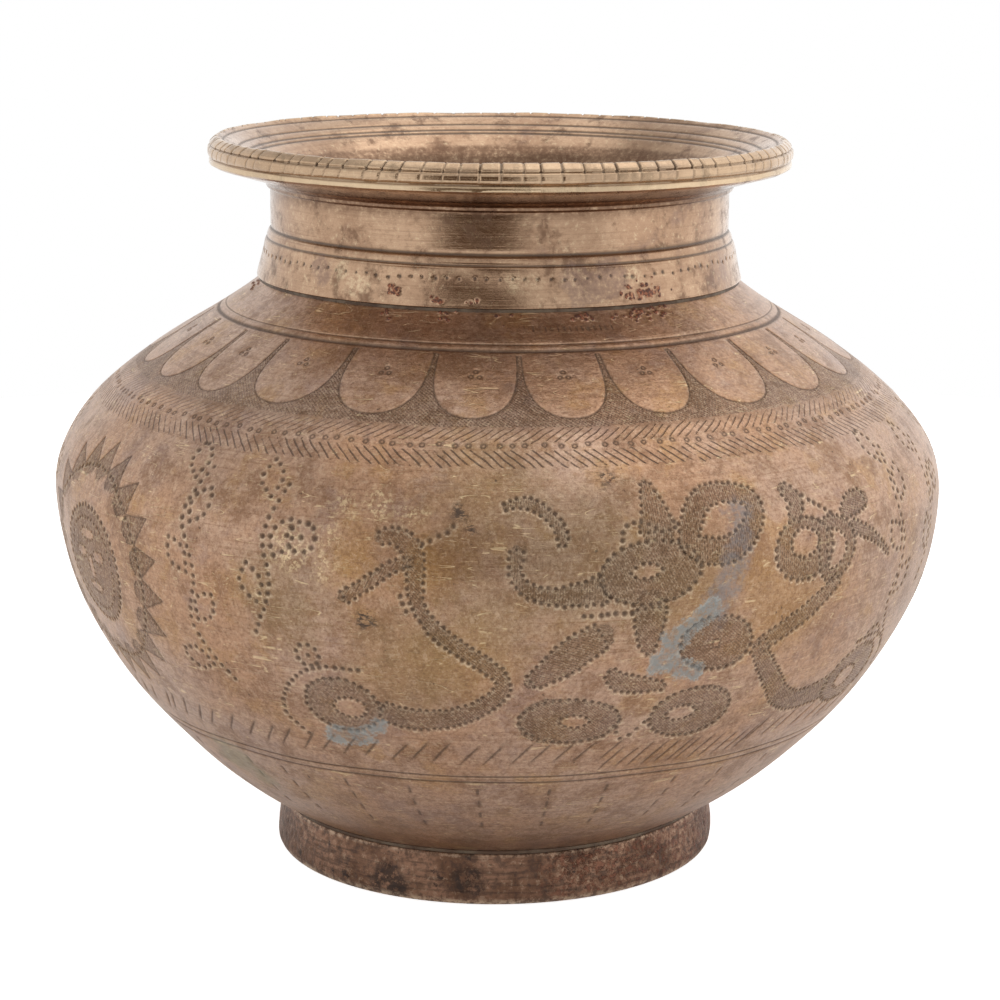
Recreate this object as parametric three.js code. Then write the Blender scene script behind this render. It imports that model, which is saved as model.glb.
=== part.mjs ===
// A lota: a squat bronze water pot with a wide flanged rim, brazed up from turned pieces.
// Millimetres, +Z up. The pot's axis is Z, and its foot stands on Z = 0.

import * as THREE from "three";

const facets = 64; // flat faces around every turned piece

// Foot
const footHeight = 8.7;
const footWall = 2.4;
const footLedge = 1.15; // how far the foot's top edge stands out from the bowl
const footFlare = 0.9; // how much wider the foot is just above the ground
const footFit = 0.2; // radial clearance between the foot and the boss under the bowl

// Bowl, the lower half of the body
const bowlSink = 2.7; // how far the bowl's underside hangs into the foot
const bowlDepth = 58.1; // underside of the bowl to the widest line
const floorRadius = 28.75;
const bowlBulge = 1.815;
const bowlFill = 0.742;

// Body
const bellyRadius = 75.1;
const bodyWall = 2.1;
const jointBevel = 0.9; // bevel inside the joint of the two halves, filled by the braze
const brazeCrown = 0.4; // how far that braze stands proud on the inside

// Shoulder, the upper half of the body
const shoulderRise = 35.4; // widest line to the end of the shoulder's curve
const shoulderBulge = 2.178;
const shoulderSweep = 1.372;
const spigotWall = 2.2; // the throat that the collar laps over
const spigotHeight = 4;
const seatWidth = 1.07; // how far the shoulder's curve ends outside the spigot
const seatDrop = 0.5; // seat of the collar below the end of the shoulder's curve

// Neck and rim, one turned casting
const neckBore = 36.4;
const neckWall = 2.1;
const collarHeight = 6.6; // conical skirt, seat to the first groove
const collarOverhang = 0.9; // how far the skirt's edge stands out over the shoulder
const collarTaper = 1.6; // how much narrower the skirt is at its top
const neckHeight = 14.9; // seat to the step under the rim
const rimThickness = 8.4; // step under the rim to the top edge
const rimReach = 10.4; // how far the rim's edge stands out from the neck
const rimEdge = 4.6; // height of the rim's edge, its lowest line to its top
const rimBevel = 1.3; // how far the edge leans in towards its top
const beadHeight = 1; // the plain bead along the bottom of the edge
const bandHeight = 1.3; // the notched band above it
const rimGroove = 0.35; // depth of the two grooves turned in the rim's edge
const grooveHalf = 0.3; // half the height of such a groove
const underDrop = 0.8; // how far the rim's underside slopes down towards the neck
const funnelDepth = 10.1; // dished mouth, top edge to where the bore is straight
const lapFit = 0.15; // radial clearance between the collar and the spigot
const lapGap = 0.3; // height left between the spigot's end and the collar

const brazeGap = 0.02; // clearance of a braze to the curved wall beside it
const brazeInset = 0.1; // how far a braze stays inside the edge that it fills up to
const neckBrazeHeight = 0.9;
const footBrazeHeight = 0.45;

// Heights and radii that follow from the sizes above
const floorHeight = footHeight - bowlSink;
const bellyHeight = floorHeight + bowlDepth;
const shoulderTop = bellyHeight + shoulderRise;
const seatHeight = shoulderTop - seatDrop;
const spigotRadius = neckBore + spigotWall;
const shoulderTopRadius = spigotRadius + seatWidth;
const neckRadius = neckBore + neckWall;
const rimRadius = neckRadius + rimReach;
const rimTop = seatHeight + neckHeight + rimThickness;

const bronze = { color: 0x8a6248, roughness: 0.42, metalness: 0.9 };
const paleBronze = { color: 0x9a7354, roughness: 0.38, metalness: 0.9 };
const dullBronze = { color: 0x6f4e3b, roughness: 0.6, metalness: 0.8 };
const solder = { color: 0x77756a, roughness: 0.7, metalness: 0.5 };

// Outer curve of the bowl: flat underside, then a full curve that ends upright at the widest line.
function bowlRadius(height) {
  const drop = (bellyHeight - height) / bowlDepth;
  return floorRadius + (bellyRadius - floorRadius) * (1 - drop ** bowlBulge) ** bowlFill;
}

// The same curve the other way round, from a radius to its height.
function bowlHeight(radius) {
  const share = (radius - floorRadius) / (bellyRadius - floorRadius);
  return bellyHeight - bowlDepth * (1 - share ** (1 / bowlFill)) ** (1 / bowlBulge);
}

// Outer curve of the shoulder: upright at the widest line, swept up like a bell into the neck.
function shoulderRadius(height) {
  const rise = (height - bellyHeight) / shoulderRise;
  return shoulderTopRadius + (bellyRadius - shoulderTopRadius) * (1 - rise ** shoulderBulge) ** shoulderSweep;
}

// Points on a curve, closer together towards the far end of its height range.
function alongCurve(radiusAt, fromHeight, toHeight, count) {
  return Array.from({ length: count + 1 }, (_, i) => {
    const height = fromHeight + (toHeight - fromHeight) * Math.sin((i / count) * Math.PI / 2);
    return new THREE.Vector2(radiusAt(height), height);
  });
}

// The same points moved inwards by the wall, square to the curve.
function insideOf(points, wall) {
  const last = points.length - 1;
  return points.map((point, i) => {
    const before = points[Math.max(i - 1, 0)];
    const after = points[Math.min(i + 1, last)];
    const along = after.clone().sub(before).normalize();
    const inwards = new THREE.Vector2(-Math.abs(along.y), along.x * Math.sign(along.y));
    return point.clone().addScaledVector(inwards, wall);
  });
}

// A turned piece: its closed outline, listed so that the metal lies to the left, swept around Z.
function turned(name, outline, finish) {
  const profile = outline.map(([radius, height]) => new THREE.Vector2(radius, height));
  if (outline[0][0] > 0) profile.push(profile[0].clone());
  const shape = new THREE.LatheGeometry(profile, facets);
  shape.rotateX(Math.PI / 2); // LatheGeometry turns around Y
  const mesh = new THREE.Mesh(shape, new THREE.MeshStandardMaterial(finish));
  mesh.name = name;
  return mesh;
}

const pairs = (points) => points.map((point) => [point.x, point.y]);

// Where the foot stands against the bowl
const footSeatRadius = bowlRadius(footHeight);
const footTopRadius = footSeatRadius + footLedge;
const footBore = footTopRadius - footWall;
const bossRadius = footBore - footFit;

function footRing() {
  const widest = footTopRadius + footFlare;
  return turned("foot_ring", [
    [footBore, 0],
    [widest - 0.6, 0],
    [widest, 0.9],
    [widest - 0.1, footHeight * 0.4],
    [footTopRadius, footHeight],
    [footBore, footHeight],
  ], dullBronze);
}

function footBraze() {
  const top = footHeight + footBrazeHeight;
  return turned("foot_braze", [
    [footSeatRadius + brazeGap, footHeight],
    [footTopRadius - brazeInset, footHeight],
    [bowlRadius(top) + brazeGap, top],
  ], solder);
}

function lowerBody() {
  const brazeTop = footHeight + footBrazeHeight;
  const outer = alongCurve(bowlRadius, bellyHeight, brazeTop, 9);
  const inner = insideOf(alongCurve(bowlRadius, bellyHeight, floorHeight, 8), bodyWall);
  inner[0].set(bellyRadius - bodyWall, bellyHeight - jointBevel);
  inner[inner.length - 1].y = floorHeight + bodyWall;
  return turned("lower_body", [
    [0, floorHeight],
    [floorRadius, floorHeight],
    [bossRadius, bowlHeight(bossRadius)],
    [bossRadius, footHeight],
    [footSeatRadius, footHeight],
    ...pairs(outer.reverse()),
    [bellyRadius - bodyWall + jointBevel, bellyHeight],
    ...pairs(inner),
    [0, floorHeight + bodyWall],
  ], bronze);
}

function bellyBraze() {
  const wallRadius = bellyRadius - bodyWall;
  const half = jointBevel - brazeGap;
  return turned("belly_braze", [
    [wallRadius - brazeCrown, bellyHeight],
    [wallRadius, bellyHeight - half],
    [wallRadius + half - brazeGap, bellyHeight],
    [wallRadius, bellyHeight + half],
  ], paleBronze);
}

function upperBody() {
  const brazeFoot = seatHeight - neckBrazeHeight;
  const throatFoot = seatHeight - 2; // where the inner wall starts to close in to the bore
  const outer = alongCurve(shoulderRadius, bellyHeight, brazeFoot, 9);
  const inner = insideOf(alongCurve(shoulderRadius, bellyHeight, throatFoot, 7), bodyWall);
  inner[0].set(bellyRadius - bodyWall, bellyHeight + jointBevel);
  return turned("upper_body", [
    [bellyRadius - bodyWall + jointBevel, bellyHeight],
    ...pairs(outer),
    [shoulderRadius(seatHeight), seatHeight],
    [spigotRadius, seatHeight],
    [spigotRadius, seatHeight + spigotHeight],
    [neckBore, seatHeight + spigotHeight],
    [neckBore, seatHeight],
    ...pairs(inner.reverse()),
  ], bronze);
}

// Where the collar stands over the shoulder
const collarRadius = shoulderRadius(seatHeight) + collarOverhang;
const lapRadius = spigotRadius + lapFit;

function neckBraze() {
  const bottom = seatHeight - neckBrazeHeight;
  return turned("neck_braze", [
    [shoulderRadius(bottom) + brazeGap, bottom],
    [collarRadius - brazeInset, seatHeight],
    [shoulderRadius(seatHeight) + brazeGap, seatHeight],
  ], solder);
}

// The dished mouth opens from the bore as a parabola.
function funnel(count) {
  const mouth = rimRadius - rimBevel - 0.7;
  return Array.from({ length: count }, (_, i) => {
    const share = 1 - i / (count - 1);
    const radius = neckBore + (mouth - neckBore) * share ** 2;
    return [radius, rimTop - 0.3 - (funnelDepth - 0.3) * (1 - share)];
  });
}

function rimNeck() {
  const step = seatHeight + neckHeight;
  const under = rimTop - rimEdge;
  const lowGroove = under + beadHeight + grooveHalf;
  const highGroove = lowGroove + bandHeight + 2 * grooveHalf;
  const lapTop = seatHeight + spigotHeight + lapGap;
  return turned("rim_neck", [
    [lapRadius, seatHeight],
    [collarRadius, seatHeight],
    [collarRadius - 0.1, seatHeight + 0.6],
    [collarRadius - collarTaper, seatHeight + collarHeight],
    [neckRadius, seatHeight + collarHeight + 1.9],
    [neckRadius, step],
    [neckRadius + 0.7, step + 0.5],
    [neckRadius + 1.4, step + 1.4],
    [rimRadius - 4, under - underDrop],
    [rimRadius - 1.1, under],
    [rimRadius - 0.3, under + 0.3],
    [rimRadius - 0.3, lowGroove - grooveHalf],
    [rimRadius - 0.3 - rimGroove, lowGroove],
    [rimRadius, lowGroove + grooveHalf],
    [rimRadius - 0.1, highGroove - grooveHalf],
    [rimRadius - 0.2 - rimGroove, highGroove],
    [rimRadius - 0.4, highGroove + grooveHalf],
    [rimRadius - rimBevel, rimTop],
    [rimRadius - rimBevel - 0.3, rimTop],
    ...funnel(7),
    [neckBore, lapTop],
    [lapRadius, lapTop],
  ], paleBronze);
}

const lota = new THREE.Group();
lota.add(
  footRing(),
  footBraze(),
  lowerBody(),
  bellyBraze(),
  upperBody(),
  neckBraze(),
  rimNeck(),
);

export default lota;
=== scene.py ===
# A squat bronze water pot: turned foot, two-part body chased and punched all round, and a wide rim on a
# collar.
import math

import bpy
import numpy as np
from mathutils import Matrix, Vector


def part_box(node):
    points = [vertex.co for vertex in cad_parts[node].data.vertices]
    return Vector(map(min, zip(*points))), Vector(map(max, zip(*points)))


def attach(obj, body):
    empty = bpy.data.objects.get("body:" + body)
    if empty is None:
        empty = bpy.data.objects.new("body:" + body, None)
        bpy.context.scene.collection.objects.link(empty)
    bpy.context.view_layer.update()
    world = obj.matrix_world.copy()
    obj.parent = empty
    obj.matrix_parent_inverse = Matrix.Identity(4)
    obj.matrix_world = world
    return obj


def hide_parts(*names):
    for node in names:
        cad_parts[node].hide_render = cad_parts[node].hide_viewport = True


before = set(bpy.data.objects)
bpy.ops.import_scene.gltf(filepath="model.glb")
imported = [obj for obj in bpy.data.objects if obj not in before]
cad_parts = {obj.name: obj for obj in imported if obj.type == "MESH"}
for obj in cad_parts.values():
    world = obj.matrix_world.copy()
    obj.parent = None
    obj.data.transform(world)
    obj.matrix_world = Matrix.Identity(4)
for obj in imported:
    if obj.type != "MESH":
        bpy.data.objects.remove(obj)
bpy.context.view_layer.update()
scene = bpy.context.scene
mm = 0.001
chance = np.random.default_rng(23)

# Sizes that the frame holds, in mm
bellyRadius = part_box("upper_body")[1].x / mm
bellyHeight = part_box("upper_body")[0].z / mm
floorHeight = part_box("lower_body")[0].z / mm
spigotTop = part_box("upper_body")[1].z / mm
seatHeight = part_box("rim_neck")[0].z / mm
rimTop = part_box("rim_neck")[1].z / mm
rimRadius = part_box("rim_neck")[1].x / mm
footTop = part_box("foot_ring")[1].z / mm
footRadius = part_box("foot_ring")[1].x / mm
beltDegree = bellyRadius * math.pi / 180  # mm along the widest line for one degree

camera = {"distance": 0.4711, "height": 0.1642, "aside": 0.0005, "tip": 12.51, "lens": 100.8,
          "shift": 0.0025}
body = {"bowlBulge": 1.815, "bowlFill": 0.742, "floorRadius": 28.75, "shoulderBulge": 2.178,
        "shoulderSweep": 1.372, "throatRadius": 39.67, "seatDrop": 0.5, "thickness": 2.1, "jointBevel": 0.9,
        "bossRadius": 34.6, "seatRadius": 36.05, "bore": 36.4, "spigotRadius": 38.6,
        "lean": 0.0085, "upright": 6, "leaning": 34, "dents": 0.11}
# Settings of the body: the curve's powers and radii, its wall, how far it leans, and the depth of its dents


def makeCamera():
    data = bpy.data.cameras.new("camera")
    data.lens = camera["lens"]
    data.shift_x = camera["shift"]
    holder = bpy.data.objects.new("camera", data)
    holder.location = (camera["aside"], -camera["distance"], camera["height"])
    holder.rotation_euler = (math.radians(90 - camera["tip"]), 0, 0)
    scene.collection.objects.link(holder)
    scene.camera = holder


makeCamera()


def wallTable():
    # Going up the outside of the body: bowl radius = floor + (belly - floor) (1 - drop^bulge)^fill,
    # shoulder
    # radius = throat + (belly - throat) (1 - rise^bulge)^sweep; arc is the length from the widest line
    steps = (1 - np.cos(np.linspace(0, math.pi, 6001))) / 2
    depth = bellyHeight - floorHeight
    climb = seatHeight + body["seatDrop"] - bellyHeight
    bowl = body["floorRadius"] + (bellyRadius - body["floorRadius"]) * (
        1 - (1 - steps) ** body["bowlBulge"]) ** body["bowlFill"]
    shoulder = body["throatRadius"] + (bellyRadius - body["throatRadius"]) * (
        1 - steps ** body["shoulderBulge"]) ** body["shoulderSweep"]
    radius = np.concatenate([bowl, shoulder[1:]])
    height = np.concatenate([floorHeight + depth * steps, bellyHeight + climb * steps[1:]])
    arc = np.concatenate([[0], np.cumsum(np.hypot(np.diff(radius), np.diff(height)))])
    arc -= arc[len(steps) - 1]
    slope = np.hypot(np.gradient(radius), np.gradient(height))
    return {"arc": arc, "radius": radius, "height": height,
            "outR": np.gradient(height) / slope, "outZ": -np.gradient(radius) / slope}


wall = wallTable()


def wallAt(arc, key):
    return np.interp(arc, wall["arc"], wall[key])


def arcAt(height):
    return float(np.interp(height, wall["height"], wall["arc"]))


def dents(theta, arc):
    # Slow unevenness of hand work: four waves round and along the wall, dying out at the neck and foot
    fade = np.clip((arc + 66) / 20, 0, 1) * np.clip((47 - arc) / 12, 0, 1)
    waves = (np.sin(3 * theta + 1.1) * np.sin(arc / 9 + 0.4) + 0.8 * np.sin(5 * theta - arc / 14)
             + 0.5 * np.sin(11 * theta + arc / 5 + 2) + 0.4 * np.sin(17 * theta - arc / 4 + 1))
    return body["dents"] * fade * waves


def leaned(points):
    # The pot leans a little above its foot: a small turn about the foot's top, growing smoothly with height
    share = np.clip((points[:, 2] - body["upright"]) / (body["leaning"] - body["upright"]), 0, 1)
    turn = body["lean"] * share * share * (3 - 2 * share)
    x = points[:, 0] + turn * (points[:, 2] - footTop)
    z = points[:, 2] - turn * points[:, 0]
    return np.stack([x, points[:, 1], z], 1)


def around(columns):
    return np.arange(columns) * (2 * math.pi / columns)


def swept(radius, height, theta):
    # A turned surface: x = r sin(theta), y = -r cos(theta), z = height, so that theta 0 is the front
    radius, height, theta = np.broadcast_arrays(radius, height, theta)
    return np.stack([radius * np.sin(theta), -radius * np.cos(theta), height], -1)


layers = ("marks", "hatch", "patina")


def plainBand(outline, columns, relief=None, facts=None):
    # A turned strip: rows follow the outline (radius, height), columns go round; relief is added outwards
    outline = np.asarray(outline, float)
    theta = around(columns)[None, :]
    along = np.gradient(outline, axis=0)
    along /= np.maximum(np.hypot(along[:, 0], along[:, 1]), 1e-9)[:, None]
    lift = np.zeros((len(outline), columns)) if relief is None else relief
    radius = outline[:, :1] + along[:, 1:] * lift
    height = outline[:, 1:] - along[:, :1] * lift
    points = swept(radius, height, theta)
    rows = len(outline)
    cell = np.arange(rows * columns).reshape(rows, columns)
    beside = np.roll(cell, -1, 1)
    corners = [cell[:-1], beside[:-1], beside[1:], cell[1:]]
    faces = np.concatenate([np.stack([corners[0], corners[1], corners[2]], -1).reshape(-1, 3),
                            np.stack([corners[0], corners[2], corners[3]], -1).reshape(-1, 3)])
    band = {"points": points.reshape(-1, 3), "faces": faces, "first": cell[0], "last": cell[-1],
            "firstTheta": around(columns), "lastTheta": around(columns)}
    for layer in layers:
        value = np.zeros((rows, columns, 3))
        if facts and layer in facts:
            value = facts[layer]
        elif layer == "marks":
            value[..., 0] = np.cumsum(np.hypot(*np.diff(outline, axis=0, prepend=outline[:1]).T))[:, None]
        band[layer] = value.reshape(-1, 3)
    return band


def pole(height):
    return {"points": np.array([[0, 0, height]], float), "faces": np.zeros((0, 3), int),
            "first": np.zeros(1, int),
            "last": np.zeros(1, int), "firstTheta": np.zeros(1), "lastTheta": np.zeros(1),
            **{layer: np.zeros((1, 3)) for layer in layers}}


def zipped(lower, lowerTheta, upper, upperTheta):
    # Triangles between two rings of any counts: each edge looks across to the point level with its middle
    lowMiddle = (lowerTheta + np.append(lowerTheta[1:], 2 * math.pi)) / 2
    highMiddle = (upperTheta + np.append(upperTheta[1:], 2 * math.pi)) / 2
    faces = []
    if len(lower) > 1:
        across = np.searchsorted(highMiddle, lowMiddle) % len(upper) if len(upper) > 1 else 0
        faces.append(np.stack([lower, np.roll(lower, -1), upper[across] + 0 * lower], 1))
    if len(upper) > 1:
        across = np.searchsorted(lowMiddle, highMiddle, "right") % len(lower) if len(lower) > 1 else 0
        faces.append(np.stack([lower[across] + 0 * upper, np.roll(upper, -1), upper], 1))
    return np.concatenate(faces)


def joined(name, bands, closed=True):
    # Bands in order up the outside and down the inside become one closed mesh
    offset = 0
    faces = []
    rings = []
    for band in bands:
        faces.append(band["faces"] + offset)
        rings.append((band["first"] + offset, band["firstTheta"], band["last"] + offset, band["lastTheta"]))
        offset += len(band["points"])
    pairs = list(zip(rings, rings[1:] + (rings[:1] if closed else [])))
    for before, after in pairs:
        faces.append(zipped(before[2], before[3], after[0], after[1]))
    faces = np.concatenate(faces)
    points = leaned(np.concatenate([band["points"] for band in bands])) * mm
    return solid(name, points, faces, {layer: np.concatenate([band[layer] for band in bands])
                                       for layer in layers})


def solid(name, points, faces, facts):
    mesh = bpy.data.meshes.new(name)
    mesh.vertices.add(len(points))
    mesh.vertices.foreach_set("co", points.astype(np.float32).ravel())
    mesh.loops.add(faces.size)
    mesh.loops.foreach_set("vertex_index", faces.astype(np.int32).ravel())
    mesh.polygons.add(len(faces))
    mesh.polygons.foreach_set("loop_start", np.arange(0, faces.size, 3, dtype=np.int32))
    for layer, value in facts.items():
        mesh.attributes.new(layer, "FLOAT_VECTOR", "POINT").data.foreach_set("vector",
                                                                             value.astype(np.float32).ravel())
    mesh.update(calc_edges=True)
    mesh.validate()
    mesh.shade_smooth()
    mesh.set_sharp_from_angle(angle=math.radians(62))
    piece = bpy.data.objects.new(name, mesh)
    scene.collection.objects.link(piece)
    print(name, len(mesh.polygons), "triangles")
    return piece


def rounded(corners, points=5):
    # An outline of (radius, height, rounding) corners: each corner becomes a short curve,
    # (1 - b)^2 start + 2 b (1 - b) corner + b^2 end
    corners = np.asarray(corners, float)
    line = [corners[:1, :2]]
    blend = np.linspace(0, 1, points)[:, None]
    for before, corner, after in zip(corners[:-2], corners[1:-1], corners[2:]):
        if corner[2] <= 0:
            line.append(corner[None, :2])
            continue
        back = before[:2] - corner[:2]
        onward = after[:2] - corner[:2]
        start = corner[:2] + back * min(corner[2] / np.hypot(*back), 0.48)
        end = corner[:2] + onward * min(corner[2] / np.hypot(*onward), 0.48)
        line.append((1 - blend) ** 2 * start + 2 * blend * (1 - blend) * corner[:2] + blend ** 2 * end)
    line.append(corners[-1:, :2])
    return np.concatenate(line)


def spaced(outline, step):
    # The same outline with extra points, so that none are further apart than step
    lengths = np.hypot(*np.diff(outline, axis=0).T)
    travelled = np.concatenate([[0], np.cumsum(lengths)])
    stops = [np.linspace(travelled[i], travelled[i + 1], max(int(math.ceil(lengths[i] / step)), 1),
                         endpoint=False)
             for i in range(len(lengths)) if lengths[i] > 0]
    stops = np.concatenate(stops + [travelled[-1:]])
    return np.stack([np.interp(stops, travelled, outline[:, 0]),
                     np.interp(stops, travelled, outline[:, 1])], 1)


# Relief on the body is stamped on a fine grid of arc length against angle, then thinned where it is smooth
relief = {"fineColumns": 2304, "lowColumns": 1536, "root": 16, "tolerance": 0.0365,
          "grimeWeight": 0.03, "hatchWeight": 0.03, "wornWeight": 0.015,
          "sunk": 0.03, "burrCover": 0.04}


def newField(low, high, rows, columns):
    arcs = np.linspace(low, high, rows + 1)
    field = {"arcs": arcs, "columns": columns, "theta": around(columns)}
    for layer in ("cut", "burr", "grime", "worn", "hatch", "turnLines", "arcLines", "crust"):
        field[layer] = np.zeros((rows + 1, columns))
    return field


def nearMarks(field, starts, ends, reach):
    # Cells within reach (mm) of each straight mark, with the distance to it and the share along it:
    # share = ((cell - start) . (end - start)) / length^2, held to 0..1
    arcs = field["arcs"]
    pitch = arcs[1] - arcs[0]
    degrees = 360 / field["columns"]
    lowest = np.minimum(starts[:, 1], ends[:, 1]) - reach
    highest = np.maximum(starts[:, 1], ends[:, 1]) + reach
    ids = np.flatnonzero((highest > arcs[0]) & (lowest < arcs[-1]))
    if not len(ids):
        return [np.zeros(0, int), np.zeros(0, int), np.zeros(0), np.zeros(0)]
    middle = (starts + ends) / 2
    smallest = wallAt(np.clip(highest[ids], arcs[0], arcs[-1]), "radius").min() * math.pi / 180
    rowReach = int(math.ceil((np.abs(ends - starts)[ids, 1].max() / 2 + reach) / pitch))
    columnReach = int(math.ceil((np.abs(ends - starts)[ids, 0].max() / 2 + reach / smallest) / degrees))
    rowStep = np.arange(-rowReach, rowReach + 1)
    columnStep = np.arange(-columnReach, columnReach + 1)
    block = max(1, 1500000 // (len(rowStep) * len(columnStep)))
    found = []
    for first in range(0, len(ids), block):
        mark = ids[first:first + block]
        row = np.rint((middle[mark, 1] - arcs[0]) / pitch).astype(int)[:, None,
                                                                       None] + rowStep[None, :, None]
        column = np.rint(middle[mark, 0] / degrees).astype(int)[:, None, None] + columnStep[None, None, :]
        row, column = np.broadcast_arrays(row, column)
        arcHere = arcs[0] + row * pitch
        scale = np.interp(arcHere, arcs, wallAt(arcs, "radius")) * math.pi / 180
        x = (column * degrees - starts[mark, 0][:, None, None]) * scale
        y = arcHere - starts[mark, 1][:, None, None]
        dx = (ends[mark, 0] - starts[mark, 0])[:, None, None] * scale
        dy = (ends[mark, 1] - starts[mark, 1])[:, None, None]
        share = np.clip((x * dx + y * dy) / np.maximum(dx * dx + dy * dy, 1e-9), 0, 1)
        distance = np.hypot(x - share * dx, y - share * dy)
        keep = (distance < reach) & (row >= 0) & (row < len(arcs))
        cell = row * field["columns"] + column % field["columns"]
        owner = np.broadcast_to(mark[:, None, None], distance.shape)
        found.append((cell[keep], owner[keep], distance[keep], share[keep]))
    return [np.concatenate(part) for part in zip(*found)]


punch = {"depth": 0.2, "burr": 0.06, "burrAt": 1.15, "burrWidth": 0.16, "ringAt": 0.72, "ringWidth": 0.36}


def stampDots(field, dots):
    # Hollow = -depth (1 - (d / radius)^2); burr = a ring exp(-((d / radius - 1.15) / 0.16)^2), heaped on
    # one side
    at = dots[:, :2]
    cell, mark, distance, _ = nearMarks(field, at, at, float(dots[:, 2].max()) * 1.6)
    size = distance / dots[mark, 2]
    depth = punch["depth"] * dots[mark, 3]
    hollow = -depth * np.clip(1 - size ** 2, 0, 1)
    arcs = field["arcs"]
    arc = arcs[cell // field["columns"]]
    side = (arc - at[mark, 1]) / np.maximum(distance, 1e-6)
    ring = np.exp(-((size - punch["burrAt"]) / punch["burrWidth"]) ** 2)
    heap = ring * (0.62 - 0.38 * side)
    np.minimum.at(field["cut"].ravel(), cell, hollow)
    np.maximum.at(field["burr"].ravel(), cell, punch["burr"] * heap * dots[mark, 3])
    np.maximum.at(field["grime"].ravel(), cell, np.clip(1.5 - 1.3 * size, 0, 1))
    np.maximum.at(field["worn"].ravel(), cell, np.clip(heap * dots[mark, 3], 0, 1))


def stampRings(field, rings):
    # A ring punch: a round furrow of half the punch's width about a proud core
    at = rings[:, :2]
    cell, mark, distance, _ = nearMarks(field, at, at, float(rings[:, 2].max()) * 1.3)
    size = distance / rings[mark, 2]
    furrow = np.clip(1 - ((size - punch["ringAt"]) / punch["ringWidth"]) ** 2, 0, 1)
    np.minimum.at(field["cut"].ravel(), cell, -0.7 * punch["depth"] * furrow * rings[mark, 3])
    np.maximum.at(field["grime"].ravel(), cell, 0.9 * furrow)


def stampCuts(field, starts, ends, halfWidth, depth, taper):
    # A chased line: depth (1 - d / half width), running out at both ends over the taper share
    cell, _, distance, share = nearMarks(field, starts, ends, halfWidth)
    run = np.clip(np.minimum(share, 1 - share) / taper + 0.25, 0, 1) if taper else 1
    vee = (1 - distance / halfWidth) * run
    np.minimum.at(field["cut"].ravel(), cell, -depth * vee)
    np.maximum.at(field["grime"].ravel(), cell, np.clip(1.1 * vee, 0, 0.8))


def stampHatch(field, starts, ends, widths, turnLines, arcLines):
    # A field of fine lines: everything nearer the centre line than its half width, which runs from end to
    # end
    cell, mark, distance, share = nearMarks(field, starts, ends, float(widths.max()))
    half = widths[mark, 0] + (widths[mark, 1] - widths[mark, 0]) * share
    edge = np.clip((half - distance) / 0.25, 0, 1)
    np.maximum.at(field["hatch"].ravel(), cell, edge)
    inside = cell[edge > 0]
    field["turnLines"].ravel()[inside] = turnLines
    field["arcLines"].ravel()[inside] = arcLines


def stampWipe(field, starts, ends, half):
    cell, _, distance, _ = nearMarks(field, starts, ends, half + 0.25)
    np.minimum.at(field["hatch"].ravel(), cell, np.clip((distance - half) / 0.25, 0, 1))


def fieldPoints(field):
    # Wall point + outward direction times the relief: dents, hatched ground a little sunk, hollows, burrs
    arcs = field["arcs"][:, None]
    theta = field["theta"][None, :]
    lift = dents(theta, arcs) - relief["sunk"] * field["hatch"] + field["cut"] + field["crust"]
    lift = lift + field["burr"] * np.clip(1 + field["cut"] / relief["burrCover"], 0, 1)
    return swept(wallAt(arcs, "radius") + lift * wallAt(arcs, "outR"),
                 wallAt(arcs, "height") + lift * wallAt(arcs, "outZ"), theta)


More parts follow.
